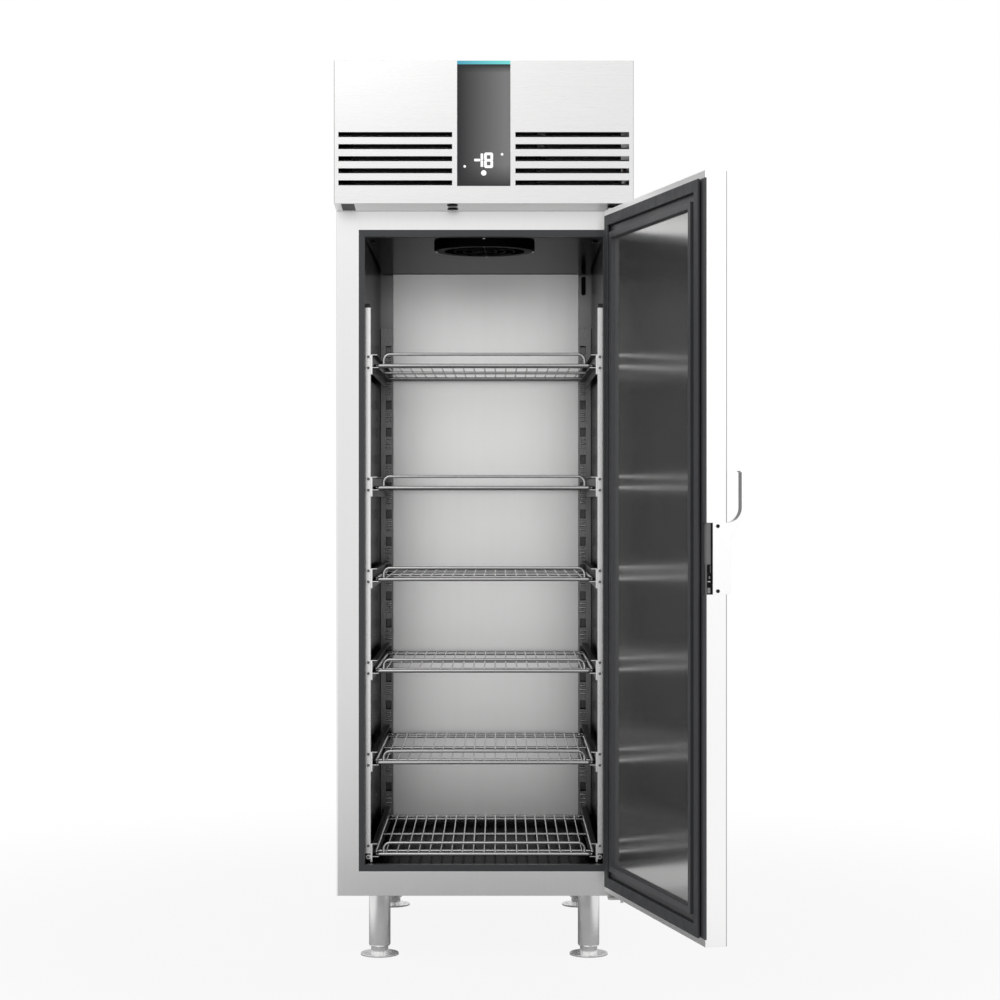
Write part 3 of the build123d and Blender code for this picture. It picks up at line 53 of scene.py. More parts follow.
# Room and floor. Four numbers are a map: start, end, value at the start and value at the end.
ROOM_LIGHT = 0.75
ROOM_BY_HEIGHT = (-0.09, 0.17, 0.72, 1.0)
ROOM_TO_THE_RIGHT = (-0.14, 0.14, 1.02, 0.86)
ROOM_FAR_RIGHT = (0.16, 0.45, 0.0, 0.2)
ROOM_TO_THE_REAR = (-0.6, 0.1, 1.0, 0.84)
FLOOR_HALF = 40.0
FLOOR_SHADE = (0.42, 0.42, 0.42, 1.0)
FLOOR_ROUGHNESS = 0.9
FLOOR_SHINE = 0.1
SEEN_WHITE = (0.7, 2.6, 0.9, 1.0)
MIRROR_SPOT_Y = -1.6
MIRRORED_WHITE = (0.6, 9.0, 0.0, 0.69)
MIRRORED_BESIDE = (0.42, 0.9, 0.0, 1.0)

# Grain, bump and edges of the materials
GRAIN_DETAIL = 4.0
GRAIN_ROUGHNESS = 0.6
GRAIN_BUMP = 0.05
GRAIN_HEIGHT = 0.00005
COARSE_SHARE = 6
SHEET_EDGE = 0.0006
THIN_EDGE = 0.0005
TURNED_LINES = (60, 60, 2600)
PLASTIC_GRAIN = 2500.0
PLASTIC_EDGE = 0.0008
SOFT_EDGE = 0.001

# Where a material changes, in metres. The splits, the cavity's blend and the door's bend place
# painted shade; the glass's spans place painted reflection
UPRIGHT_SPLIT_Y = -0.346
RUNNER_SPLIT_Y = -0.3495
SPLIT_WIDTH = 0.004
CAVITY_SHADE_BLEND = (1.38, 1.6)
DOOR_BEND = (0.5068, -1.081, 0.0)
DOOR_BEND_WIDTH = (0.0018, 0.0034)
BAR_ACROSS = (-0.062, 0.062)
GLASS_ACROSS = (-0.062, 0.05)
GLASS_FOOT = (1.815, 1.87)
GLASS_HEAD = (2.085, 2.104)

# Where a material changes with the way that the surface faces: painted shade on the handle's inner
# faces and on the fascia's upright bends
DOOR_INWARD = (-0.967, -0.255, 0.0)
HOOK_PAINTED_SHADE = (0.25, 0.7)
BEND_STARTS = (0.1, 0.4, 0.0, 1.0)
BEND_ENDS = (0.9, 0.99, 1.0, 0.0)

# The glass's left, right and low colours are painted reflection.
GLASS_BASE = (0.06, 0.06, 0.062)
GLASS_LEFT = (0.036, 0.037, 0.039)
GLASS_RIGHT = (0.28, 0.28, 0.28)
GLASS_LOW = (0.045, 0.045, 0.047)
FOAM_YELLOW = (0.83, 0.75, 0.5)
BOARD_GREEN = (0.02, 0.12, 0.05)
BOARD_LIGHT_GREEN = (0.03, 0.17, 0.07)
BOARD_TRACK = (0.3, 0.28, 0.1)


# Node helpers
def calculated(tree, operation, *values, clamp=False):
    """The output of a maths node on numbers and outputs."""
    node = tree.nodes.new("ShaderNodeMath")
    node.operation = operation
    node.use_clamp = clamp
    for socket, value in zip(node.inputs, values):
        if isinstance(value, (int, float)):
            socket.default_value = value
        else:
            tree.links.new(value, socket)
    return node.outputs[0]


def mapped(tree, value, start, end, low, high):
    """Low up to start, high from end on, and a smooth step between them."""
    node = tree.nodes.new("ShaderNodeMapRange")
    node.interpolation_type = "SMOOTHSTEP"
    for key, number in (("From Min", start), ("From Max", end), ("To Min", low), ("To Max", high)):
        node.inputs[key].default_value = number
    tree.links.new(value, node.inputs["Value"])
    return node.outputs["Result"]


def shaded(color, share):
    return tuple(c * share for c in color)


class Graph:
    """A node material under construction: a Principled shader with helpers round it."""

    def __init__(self, name, color, rough, metal=0.0, **sockets):
        self.material = bpy.data.materials.new(name)
        self.material.use_nodes = True
        self.tree = self.material.node_tree
        self.shader = self.tree.nodes["Principled BSDF"]
        self.shader.inputs["Base Color"].default_value = (*color, 1.0)
        self.shader.inputs["Roughness"].default_value = rough
        self.shader.inputs["Metallic"].default_value = metal
        for key, value in sockets.items():
            self.shader.inputs[key.replace("_", " ")].default_value = value
        self.coord = self.add("ShaderNodeTexCoord").outputs["Object"]

    def add(self, kind, **values):
        node = self.tree.nodes.new(kind)
        for key, value in values.items():
            setattr(node, key, value)
        return node

    def link(self, a, b):
        self.tree.links.new(a, b)

    def noise(self, scale=1.0, stretch=(1, 1, 1), detail=3.0, rough=0.5):
        mapping = self.add("ShaderNodeMapping")
        mapping.inputs["Scale"].default_value = stretch
        self.link(self.coord, mapping.inputs["Vector"])
        node = self.add("ShaderNodeTexNoise")
        node.inputs["Scale"].default_value = scale
        node.inputs["Detail"].default_value = detail
        node.inputs["Roughness"].default_value = rough
        self.link(mapping.outputs["Vector"], node.inputs["Vector"])
        return node.outputs["Fac"]

    def grain(self, stretch):
        """The fine grain of satin sheet, drawn out along one axis."""
        return self.noise(1.0, stretch, GRAIN_DETAIL, GRAIN_ROUGHNESS)

    def axis(self, letter, vector=None):
        """One coordinate of a vector, or else of the place on the object in metres."""
        split = self.add("ShaderNodeSeparateXYZ")
        self.link(vector or self.coord, split.inputs["Vector"])
        return split.outputs[letter]

    def facing(self):
        """The way that the surface faces."""
        return self.add("ShaderNodeTexCoord").outputs["Normal"]

    def ranged(self, value, low, high, start=0.3, end=0.7):
        """Low up to start, high from end on, and a straight slope between them."""
        node = self.add("ShaderNodeMapRange")
        node.inputs["From Min"].default_value = start
        node.inputs["From Max"].default_value = end
        node.inputs["To Min"].default_value = low
        node.inputs["To Max"].default_value = high
        self.link(value, node.inputs["Value"])
        return node.outputs["Result"]

    def slope(self, value, start, end):
        """0 up to start and 1 from end on."""
        return self.ranged(value, 0.0, 1.0, start, end)

    def mixed(self, factor, one, two):
        """One at factor 0 and two at factor 1, each a colour or an output."""
        node = self.add("ShaderNodeMix", data_type="RGBA")
        self.link(factor, node.inputs["Factor"])
        sockets = [s for s in node.inputs if s.type == "RGBA"]
        for socket, value in zip(sockets, (one, two)):
            if isinstance(value, tuple):
                socket.default_value = (*value, 1.0)
            else:
                self.link(value, socket)
        return [s for s in node.outputs if s.type == "RGBA"][0]

    def painted_shade_on_bends(self, sheet, shade):
        """The colour of sheet, with painted shade darkening the upright bends between its front and
        its sides.
        """
        sideways = calculated(self.tree, "ABSOLUTE", self.axis("X", self.facing()))
        bend = calculated(self.tree, "MULTIPLY", mapped(self.tree, sideways, *BEND_STARTS),
                          mapped(self.tree, sideways, *BEND_ENDS))
        darker = self.add("ShaderNodeVectorMath", operation="SCALE")
        self.link(sheet, darker.inputs[0])
        self.link(mapped(self.tree, bend, 0.0, 1.0, 1.0, shade), darker.inputs["Scale"])
        return darker.outputs["Vector"]

    def color(self, output):
        self.link(output, self.shader.inputs["Base Color"])

    def roughness(self, value, middle, variation, start=0.3, end=0.7):
        """Lets the roughness follow value, by variation on either side of the middle."""
        output = self.ranged(value, middle - variation, middle + variation, start, end)
        self.link(output, self.shader.inputs["Roughness"])

    def relief(self, height=None, strength=0.2, distance=0.0002, edge=0.0):
        """Rounds sharp edges by edge metres and adds a height map on top."""
        normal = None
        if edge:
            bevel = self.add("ShaderNodeBevel", samples=4)
            bevel.inputs["Radius"].default_value = edge
            normal = bevel.outputs["Normal"]
        if height is not None:
            bump = self.add("ShaderNodeBump")
            bump.inputs["Strength"].default_value = strength
            bump.inputs["Distance"].default_value = distance
            self.link(height, bump.inputs["Height"])
            if normal:
                self.link(normal, bump.inputs["Normal"])
            normal = bump.outputs["Normal"]
        if normal:
            self.link(normal, self.shader.inputs["Normal"])
        return self.material

    def satin(self, fine, rough, variation):
        """Finishes satin sheet, whose roughness and relief follow its fine grain."""
        self.roughness(fine, rough, variation)
        return self.relief(fine, GRAIN_BUMP, GRAIN_HEIGHT, SHEET_EDGE)


# Materials
def satin_steel(name, color, rough, grain, variation=0.05, metal=1.0, tint=0.965, edge_tint=1.0,
                bend_painted_shade=None):
    """Stainless sheet with a fine grain along one axis. edge_tint darkens its glancing shine, and a
    bend shade paints shade on its upright bends.
    """
    g = Graph(name, color, rough, metal, Specular_Tint=(edge_tint, edge_tint, edge_tint, 1.0))
    coarse = g.noise(1.0, tuple(s / COARSE_SHARE for s in grain), detail=2.0)
    sheet = g.mixed(coarse, shaded(color, tint), color)
    # Painted shade: when a bend shade is given, the colour is darkened on the upright bends between
    # front and sides.
    g.color(g.painted_shade_on_bends(sheet, bend_painted_shade) if bend_painted_shade else sheet)
    return g.satin(g.grain(grain), rough, variation)


def split_steel(name, front, rear, edge_y, rough, grain, edge_tint=1.0):
    """Satin sheet with one colour in front of the depth edge_y and a darker one behind it, painted
    shade on the faces turned into the cavity.
    """
    g = Graph(name, front, rough, 1.0, Specular_Tint=(edge_tint, edge_tint, edge_tint, 1.0))
    fine = g.grain(grain)
    behind = g.slope(g.axis("Y"), edge_y, edge_y + SPLIT_WIDTH)
    g.color(g.mixed(behind, front, g.mixed(fine, shaded(rear, 0.92), rear)))
    return g.satin(fine, rough, 0.03)


def hook_steel(name, color, painted_inside_shade, rough, grain):
    """The handle's satin steel, with painted shade on the faces that look back at the door."""
    g = Graph(name, color, rough, 1.0)
    turned = g.add("ShaderNodeVectorMath", operation="DOT_PRODUCT")
    turned.inputs[1].default_value = DOOR_INWARD
    g.link(g.facing(), turned.inputs[0])
    g.color(g.mixed(g.slope(turned.outputs["Value"], *HOOK_PAINTED_SHADE), color, painted_inside_shade))
    return g.satin(g.grain(grain), rough, 0.04)


def door_steel(name, color, bend, rough, grain):
    """The door's satin steel, with a painted dark line of shade down the bend at its latch edge."""
    g = Graph(name, color, rough, 1.0)
    flat = g.add("ShaderNodeVectorMath", operation="MULTIPLY")
    flat.inputs[1].default_value = (1.0, 1.0, 0.0)
    g.link(g.coord, flat.inputs[0])
    away = g.add("ShaderNodeVectorMath", operation="DISTANCE")
    away.inputs[1].default_value = DOOR_BEND
    g.link(flat.outputs["Vector"], away.inputs[0])
    fine = g.grain(grain)
    sheet = g.mixed(fine, shaded(color, 0.97), color)
    g.color(g.mixed(g.slope(away.outputs["Value"], *DOOR_BEND_WIDTH), bend, sheet))
    return g.satin(fine, rough, 0.05)


def cavity_steel(name, low, high, rough, grain):
    """The liner's sheet. Its colour is painted shade: dark, and darker low down than at the top."""
    g = Graph(name, low, rough, 1.0, Specular_Tint=(0.2, 0.2, 0.2, 1.0))
    g.color(g.mixed(g.slope(g.axis("Z"), *CAVITY_SHADE_BLEND), low, high))
    return g.satin(g.grain(grain), rough, 0.02)


def galvanised(name, color, rough):
    """Zinc-coated sheet with its faint crystal pattern."""
    g = Graph(name, color, rough, 1.0)
    cells = g.add("ShaderNodeTexVoronoi")
    cells.inputs["Scale"].default_value = 70.0
    g.link(g.coord, cells.inputs["Vector"])
    shade = g.add("ShaderNodeSeparateColor")
    g.link(cells.outputs["Color"], shade.inputs["Color"])
    g.color(g.mixed(shade.outputs["Red"], shaded(color, 0.9), color))
    g.roughness(shade.outputs["Green"], rough, 0.06, 0.0, 1.0)
    return g.relief(edge=THIN_EDGE)


def plastic(name, color, rough, bump=0.12, shine=0.5):
    """Moulded plastic with a fine spark-eroded texture."""
    g = Graph(name, color, rough, Specular_IOR_Level=shine)
    fine = g.noise(PLASTIC_GRAIN, detail=2.0)
    broad = g.noise(9.0)
    g.color(g.mixed(broad, shaded(color, 0.94), shaded(color, 1.05)))
    g.roughness(broad, rough, 0.04)
    return g.relief(fine, bump, GRAIN_HEIGHT, PLASTIC_EDGE)


def turned_steel(name, color, rough, metal=1.0):
    """Bright bar or tube with faint turning and drawing marks."""
    g = Graph(name, color, rough, metal)
    lines = g.noise(1.0, TURNED_LINES)
    broad = g.noise(30.0, detail=2.0)
    g.roughness(broad, rough, 0.04)
    g.color(g.mixed(broad, shaded(color, 0.96), color))
    return g.relief(lines, 0.06, 0.00003, 0.0004)


def foam(name, color):
    g = Graph(name, color, 0.85)
    cells = g.noise(700.0, detail=5.0, rough=0.7)
    g.color(g.mixed(g.noise(6.0), shaded(color, 0.93), color))
    return g.relief(cells, 0.5, 0.0006)


def copper(name, tarnished, clean):
    g = Graph(name, clean, 0.32, 1.0)
    tarnish = g.noise(22.0, detail=4.0)
    g.color(g.mixed(g.slope(tarnish, 0.3, 0.7), tarnished, clean))
    g.roughness(tarnish, 0.32, 0.1)
    return g.relief()


def fins(name, color):
    """Fine aluminium fins, told apart by dark lines of painted shade between them."""
    g = Graph(name, color, 0.4, 1.0)
    wave = g.add("ShaderNodeTexWave", wave_type="BANDS", bands_direction="X")
    wave.inputs["Scale"].default_value = 160.0
    g.link(g.coord, wave.inputs["Vector"])
    g.color(g.mixed(wave.outputs["Fac"], shaded(color, 0.25), color))
    return g.relief(wave.outputs["Fac"], 0.7, 0.0008)


def rubber(name, color, rough=0.7):
    g = Graph(name, color, rough)
    bloom = g.noise(45.0, detail=4.0)
    g.color(g.mixed(bloom, shaded(color, 0.9), shaded(color, 1.12)))
    g.roughness(bloom, rough, 0.08)
    return g.relief(g.noise(1800.0), 0.2, 0.00008, SOFT_EDGE)


def lit(name, color, strength, other=None):
    """A lamp behind a moulded window. other is its colour at the right-hand end."""
    g = Graph(name, shaded(color, 0.1), 0.35, Specular_IOR_Level=0.1)
    g.shader.inputs["Emission Strength"].default_value = strength
    g.shader.inputs["Emission Color"].default_value = (*color, 1.0)
    if other:
        across = g.slope(g.axis("X"), *BAR_ACROSS)
        g.link(g.mixed(across, color, other), g.shader.inputs["Emission Color"])
    return g.material


def smoked_glass(name):
    """The control panel's glass, with painted reflection: paler to the right and dark at its foot
    and head.
    """
    g = Graph(name, GLASS_BASE, 0.3, Specular_IOR_Level=0.15)
    across = g.mixed(g.slope(g.axis("X"), *GLASS_ACROSS), GLASS_LEFT, GLASS_RIGHT)
    above_foot = g.mixed(g.slope(g.axis("Z"), *GLASS_FOOT), GLASS_LOW, across)
    g.color(g.mixed(g.slope(g.axis("Z"), *GLASS_HEAD), above_foot, GLASS_LEFT))
    return g.relief(edge=THIN_EDGE)


def circuit_board(name):
    g = Graph(name, BOARD_GREEN, 0.4)
    brick = g.add("ShaderNodeTexBrick")
    brick.inputs["Scale"].default_value = 60.0
    shades = (("Color1", BOARD_GREEN), ("Color2", BOARD_LIGHT_GREEN), ("Mortar", BOARD_TRACK))
    for key, color in shades:
        brick.inputs[key].default_value = (*color, 1.0)
    g.link(g.coord, brick.inputs["Vector"])
    g.color(brick.outputs["Color"])
    return g.relief(edge=THIN_EDGE)


def enamel(name, color, rough):
    """Stoved enamel with a faint orange peel."""
    g = Graph(name, color, rough)
    peel = g.noise(140.0, detail=2.0)
    g.color(g.mixed(g.noise(7.0), color, tuple(c * 1.3 + 0.005 for c in color)))
    g.roughness(peel, rough + 0.015, 0.065)
    return g.relief(peel, 0.08, 0.0002, SOFT_EDGE)


steel_outer = satin_steel("satin_steel_outer", (0.9, 0.9, 0.895), 0.33, (1400, 1400, 16))
# The door's second colour is a painted dark line of shade down its latch-edge bend.
steel_door = door_steel("satin_steel_door", (0.97, 0.97, 0.965), (0.3, 0.3, 0.3), 0.33,
                        (1400, 1400, 16))
# The fascia's darker upright bends are painted shade.
steel_fascia = satin_steel("satin_steel_fascia", (0.86, 0.86, 0.855), 0.3, (14, 1400, 1400),
                           bend_painted_shade=0.45)
# The liner's dark colours are painted shade, darkest low down.
steel_liner = cavity_steel("satin_steel_liner", (0.13, 0.13, 0.13), (0.3, 0.3, 0.3), 0.22,
                           (300, 300, 6))
steel_duct = satin_steel("satin_steel_duct", (0.95, 0.95, 0.94), 0.32, (300, 300, 6), 0.02,
                         tint=0.97)
# The uprights' dark colour behind their front is painted shade.
steel_upright = split_steel("satin_steel_upright", (1.0, 1.0, 0.99), (0.3, 0.3, 0.3),
                            UPRIGHT_SPLIT_Y, 0.28, (600, 600, 8), 0.5)
# The ceiling's near-black colour is painted shade on satin steel.
steel_ceiling = satin_steel("satin_steel_ceiling", (0.09, 0.09, 0.09), 0.16, (6, 400, 400), 0.03,
                            tint=0.9, edge_tint=0.22)
steel_inner_door = satin_steel("bright_steel_inner_door", (0.7, 0.7, 0.695), 0.15,
                               (400, 400, 6), 0.02, metal=0.9)
# The runners' dark colour behind their front is painted shade.
steel_runner = split_steel("satin_steel_runner", (0.96, 0.96, 0.95), (0.2, 0.2, 0.2),
                           RUNNER_SPLIT_Y, 0.3, (1000, 14, 1000), 0.4)
# The handle's second colour is painted shade on the faces that look back at the door.
steel_handle = hook_steel("satin_steel_handle", (0.97, 0.97, 0.965), (0.22, 0.22, 0.22), 0.3,
                          (14, 900, 900))
steel_bracket = satin_steel("satin_steel_bracket", (0.7, 0.7, 0.69), 0.32, (14, 900, 900))
zinc = galvanised("galvanised_sheet", (0.6, 0.61, 0.61), 0.45)
wire = turned_steel("drawn_wire", (0.5, 0.5, 0.495), 0.2)
leg_steel = turned_steel("polished_leg", (0.97, 0.97, 0.965), 0.14, metal=0.65)
bright = turned_steel("bright_fixing", (0.82, 0.82, 0.81), 0.18)
dark_fixing = turned_steel("dark_fixing", (0.22, 0.22, 0.22), 0.35)
black_fixing = turned_steel("black_fixing", (0.03, 0.03, 0.03), 0.25)
breaker = plastic("breaker_grey", (0.046, 0.05, 0.053), 0.38)
door_ring = plastic("door_ring_grey", (0.066, 0.069, 0.073), 0.42)
black = plastic("moulded_black", (0.018, 0.018, 0.02), 0.36)
fan_black = plastic("fan_black", (0.001, 0.001, 0.0012), 0.5, shine=0.02)
grey_plastic = plastic("moulded_grey", (0.2, 0.2, 0.2), 0.45)
pale_plastic = plastic("moulded_pale", (0.8, 0.8, 0.78), 0.5)
gloss_black = plastic("gloss_black", (0.004, 0.004, 0.005), 0.3, bump=0.02, shine=0.1)
deep_black = plastic("deep_black", (0.003, 0.003, 0.004), 0.5, shine=0.1)
gasket_rubber = rubber("gasket_rubber", (0.045, 0.048, 0.052), 0.55)
white_print = lit("white_print", (1.0, 1.0, 1.0), 1.0)

LOOKS = {
    "outer_casing": steel_outer, "unit_side_panels": steel_outer,
    "back_panel": zinc, "base_panel": zinc, "top_deck": zinc,
    "unit_rear_panel": zinc, "unit_top_cover": zinc, "condensate_tray": zinc,
    "inner_liner": steel_liner,
    "rear_air_duct": steel_duct,
    "ceiling_panel": steel_ceiling,
    "shelf_uprights": steel_upright,
    "shelf_runners": steel_runner,
    "insulation": foam("insulation_foam", FOAM_YELLOW),
    "door_insulation": foam("door_foam", FOAM_YELLOW),
    "breaker_frame": breaker,
    "frame_heater": rubber("heater_rubber", (0.5, 0.1, 0.08)),
    "upright_caps": black,
    "fixing_screws": dark_fixing,
    "legs": leg_steel,
    "hinge_brackets": steel_bracket,
    "hinge_pins": bright,
    "hinge_bushes": grey_plastic,
    "evaporator_fan_ring": fan_black, "evaporator_fan_motor": fan_black,
    "evaporator_fan_blade": fan_black,
    "evaporator_box": foam("dark_foam", (0.02, 0.02, 0.021)),
    # The fins' dark lines are painted shade between the fins.
    "evaporator_coil": fins("evaporator_fins", (0.78, 0.79, 0.8)),
    "condenser_coil": fins("condenser_fins", (0.12, 0.12, 0.125)),
    "condenser_fan_housing": enamel("black_enamel", (0.02, 0.02, 0.02), 0.35),
    "condenser_fan_blade": satin_steel("fan_aluminium", (0.7, 0.71, 0.72), 0.35, (300, 300, 300)),
    "compressor": enamel("compressor_enamel", (0.012, 0.012, 0.013), 0.2),
    "compressor_mounts": rubber("black_rubber", (0.02, 0.02, 0.02)),
    "refrigerant_pipes": copper("copper_pipe", (0.62, 0.3, 0.19), (0.9, 0.52, 0.36)),
    "control_box": grey_plastic,
    "mains_inlet": black,
    "fascia_panel": steel_fascia,
    "door_switch": gloss_black,
    "fascia_catches": deep_black,
    "control_panel": smoked_glass("control_glass"),
    "light_bar": lit("light_bar_cyan", (0.09, 0.38, 0.52), 0.95, (0.2, 0.76, 0.7)),
    "control_board": circuit_board("circuit_board"),
    "door_skin": steel_door,
    "door_inner_frame": door_ring,
    "door_inner_panel": steel_inner_door,
    "door_gasket": gasket_rubber,
    "door_handle": steel_handle,
    "handle_screws": bright,
    "lock_case": grey_plastic,
    "lock_cylinder": bright,
}
for number in range(1, 7):
    LOOKS[f"shelf_{number}"] = wire
for corner in ("front_left", "front_right", "rear_left", "rear_right"):
    LOOKS[f"foot_{corner}"] = leg_steel


def dress(node, material):
    thing = nodes[node]
    if not thing.material_slots:
        thing.data.materials.append(material)
    for place in thing.material_slots:
        place.material = material


for node_name, look in LOOKS.items():
    dress(node_name, look)


# Sizes of the CAD solids that the added pieces sit on, in millimetres
FRONT_Y = -390.0
REAR_Y = 390.0
DOOR_HALF = 345.0
DOOR_INNER = -399.0
DOOR_ANGLE = 104.8
PIVOT = (325.0, -436.0, 0.0)
GLASS_FACE = -466.6
LINER_TOP = 1711.0
FAN_Y = -240.0
FIRST_NOTCH = 241.7
NOTCH_PITCH = 72.9
NOTCHES = 17
SHELF_NOTCHES = (0, 3, 6, 9, 12, 16)

# Screws. A head is its radius and height.
SCREW_FLANK = 0.5
SCREW_SHOULDER = (0.88, 0.85)
SCREW_TOP = 0.66
RECESS_HALF = 0.14
RECESS_REACH = 0.48
RECESS_FLOOR = 0.35
RUNNER_HEAD = (3.25, 2.5)
RUNNER_FRONT = -352.0
RUNNER_SCREW_X = 275.9
RUNNER_SCREW_RISES = (-5.8, 20.6)
HINGE_HEAD = (5.0, 0.5)
HINGE_FLANGE = 3.0
HINGE_SCREW_X = (303.0, 333.0)
HINGE_SCREW_Z = (167.2, 1760.04)
HANDLE_HEAD = (4.0, 2.0)
HANDLE_WRAP = 1.5
HANDLE_SCREW_DEPTH = 27.0
HANDLE_SCREW_Z = (900.0, 1034.0)
RING_HEAD = (4.2, 2.2)
RING_SCREW_X = (-116.7, 118.4)
RING_FOOT = LINER_TOP - 19.5
CEILING_HEAD = (4.2, 2.0)
CEILING_SCREW = (0.0, -362.0, LINER_TOP - 1.1)
BACK_HEAD = (4.0, 1.8)
BACK_EDGE_X = 336.0
BACK_EDGE_Z = (180.0, 480.0, 780.0, 1080.0, 1380.0, 1740.0, 1800.0, 1940.0, 2090.0)
BACK_MIDDLE_X = (-170.0, 0.0, 170.0)
BACK_MIDDLE_Z = (180.0, 1740.0, 1800.0, 2098.0)

# Bridges between the windows of the rear uprights
BRIDGE_HALF_HEIGHT = 2.8
BRIDGE_DEPTH = 2.6
BRIDGE_SINK = 0.05
BRIDGE_HALF = 7.85
BRIDGE_X = 259.55
BRIDGE_Y = 303.0
WINDOW_RISE = 5.5
BRIDGE_RISES = (30.7, 41.8, 52.0)

# Gasket: its section as (share of its width, proud of the door), and its inner and outer outline
GASKET_SECTION = ((0.3, 0.0), (0.3, 1.2), (0.16, 2.0), (0.16, 2.7), (0.02, 3.6), (0.0, 4.4),
                  (0.0, 7.9), (0.035, 8.7), (0.965, 8.7), (1.0, 7.9), (1.0, 4.4), (0.98, 3.6),
                  (0.84, 2.7), (0.84, 2.0), (0.7, 1.2), (0.7, 0.0))
GASKET_INNER = (296.6, 207.7, 1727.0)
GASKET_OUTER = (321.6, 182.0, 1752.0)

# Recess of the lock in the door's edge, and the plates in it:
# name, material, lowest, highest, depth under the edge, and front and rear inset in the recess
RECESS_FRONT = DOOR_INNER - 15.4
RECESS_REAR = DOOR_INNER - 4.2
LOCK_PLATE_DEPTH = 2.0
LOCK_PLATE_SOFT = 0.2
# The edge strip is a black plate of painted shadow along the outer side of the recess.
LOCK_PLATES = (("lock_painted_shadow_strip", deep_black, 893.4, 1040.6, 0.35, 0.0, 8.0),
               ("lock_strip", deep_black, 936.0, 954.5, 0.3, 3.3, 0.0),
               ("lock_rib", dark_fixing, 937.0, 953.5, 0.1, 4.0, 6.2),
               ("lock_slot", deep_black, 893.5, 935.5, 1.0, 3.3, 0.0),
               ("lock_stop", dark_fixing, 925.5, 931.0, 0.5, 4.5, 3.5),
               ("lock_line", pale_plastic, 918.6, 920.6, 0.5, 4.0, 1.0),
               ("lock_bolt", dark_fixing, 895.5, 907.0, 0.5, 4.0, 0.6))

# Display: bars as (left, right, low, high, corner radius), and round lamps as (x, z, radius)
PRINT_THICKNESS = 0.25
DISPLAY_BARS = ((-22.6, -7.9, 1878.0, 1883.9, 2.2), (-7.4, -1.3, 1881.1, 1896.2, 1.2),
                (-7.4, -1.3, 1865.0, 1880.2, 1.2), (0.8, 7.1, 1881.2, 1896.4, 1.2),
                (0.8, 7.1, 1864.4, 1879.6, 1.2), (15.5, 21.8, 1881.2, 1896.4, 1.2),
                (15.5, 21.8, 1864.4, 1879.6, 1.2), (2.2, 20.4, 1892.2, 1898.5, 2.4),
                (2.2, 20.4, 1877.3, 1883.5, 1.0), (2.2, 20.4, 1862.3, 1868.6, 2.4))
DISPLAY_LAMPS = ((-0.03, 1850.9, 6.3), (-44.5, 1866.1, 3.0), (42.7, 1894.3, 3.0))
LAMP_ROUNDNESS = 0.96

# Ceiling: hub cap and strut of the fan, probe and plugs
HUB_RINGS = ((9.0, 0.0), (9.0, 3.0), (7.6, 4.4), (4.0, 5.0))
HUB_RISE = 2.0
STRUT_RADIUS = 1.3
STRUT_LENGTH = 123.4
STRUT_SIDES = 12
STRUT_START = (-0.8, FAN_Y, LINER_TOP - 4.4)
STRUT_RUN = (5.8, 121.0, -15.4)
PROBE_PLACE = (262.0, 329.0, 1661.0)
PROBE_SIZE = (12.0, 50.0, 5.8, 6)
PROBE_DEPTH = 9.0
PROBE_SOFT = 2.0
PLUG_X = 267.0
PLUG_Y = 300.0
PLUG_SIZE = (13.0, 36.0, 6.4, 8)
PLUG_DEPTH = 1.2
PLUG_SOFT = 0.4
PLUG_DROP = 3.2

# Clip under the fascia
CLIP_OUTLINE = ((-11.0, -4.0), (9.0, -4.0), (11.0, -2.0), (11.0, 2.5), (5.0, 4.0), (-9.0, 4.0),
                (-11.0, 2.0))
CLIP_PLACE = (302.0, -441.0, 1776.4)
CLIP_DEPTHS = (-5.0, 3.5, 0.6)
CLIP_PIN_RINGS = ((2.4, 0.0), (2.4, 1.5), (1.4, 2.4))
CLIP_PIN_PLACE = (305.0, -441.0, 1773.4)
CLIP_PIN_FACING = (0.0, -0.5, -1.0)

LEFT, FRONT, REAR, DOWN = (-1, 0, 0), (0, -1, 0), (0, 1, 0), (0, 0, -1)
SAME_POINT = 1e-4
SAME_HEIGHT = 1e-6


# Mesh code, all in millimetres
def door_matrix():
    """From the place of a door piece in the shut door to its place in the open one."""
    turn = Matrix.Rotation(math.radians(DOOR_ANGLE), 4, "Z")
    return Matrix.Translation(PIVOT) @ turn @ Matrix.Translation(Vector(PIVOT) * -1)


def facing(centre, out):
    """Places a piece drawn about +Z so that it sits at centre and faces out."""
    return Matrix.Translation(centre) @ Vector(out).to_track_quat("Z", "Y").to_matrix().to_4x4()


def upright(x, y, z=0.0):
    """Stands a flat piece drawn in X and Y up, so that it faces the front."""
    return Matrix(((1, 0, 0, x), (0, 0, -1, y), (0, 1, 0, z), (0, 0, 0, 1)))


def merged(shapes):
    """One mesh code from several (mesh code, matrix) pairs."""
    total = bmesh.new()
    for shape, matrix in shapes:
        copy = bpy.data.meshes.new("part")
        shape.to_mesh(copy)
        first = len(total.verts)
        total.from_mesh(copy)
        total.verts.ensure_lookup_table()
        bmesh.ops.transform(total, matrix=matrix, verts=total.verts[first:])
        bpy.data.meshes.remove(copy)
    return total


def rings(levels, closed_ends=True):
    """A closed skin through rings of points, each a list of the same length."""
    code = bmesh.new()
    loops = [[code.verts.new(point) for point in level] for level in levels]
    count = len(loops[0])
    for low, high in zip(loops, loops[1:]):
        for n in range(count):
            m = (n + 1) % count
            code.faces.new((low[n], low[m], high[m], high[n]))
    if closed_ends:
        code.faces.new(list(reversed(loops[0])))
        code.faces.new(loops[-1])
    return code


def circle(radius, height, count=32):
    return [(radius * math.cos(math.tau * n / count), radius * math.sin(math.tau * n / count),
             height) for n in range(count)]


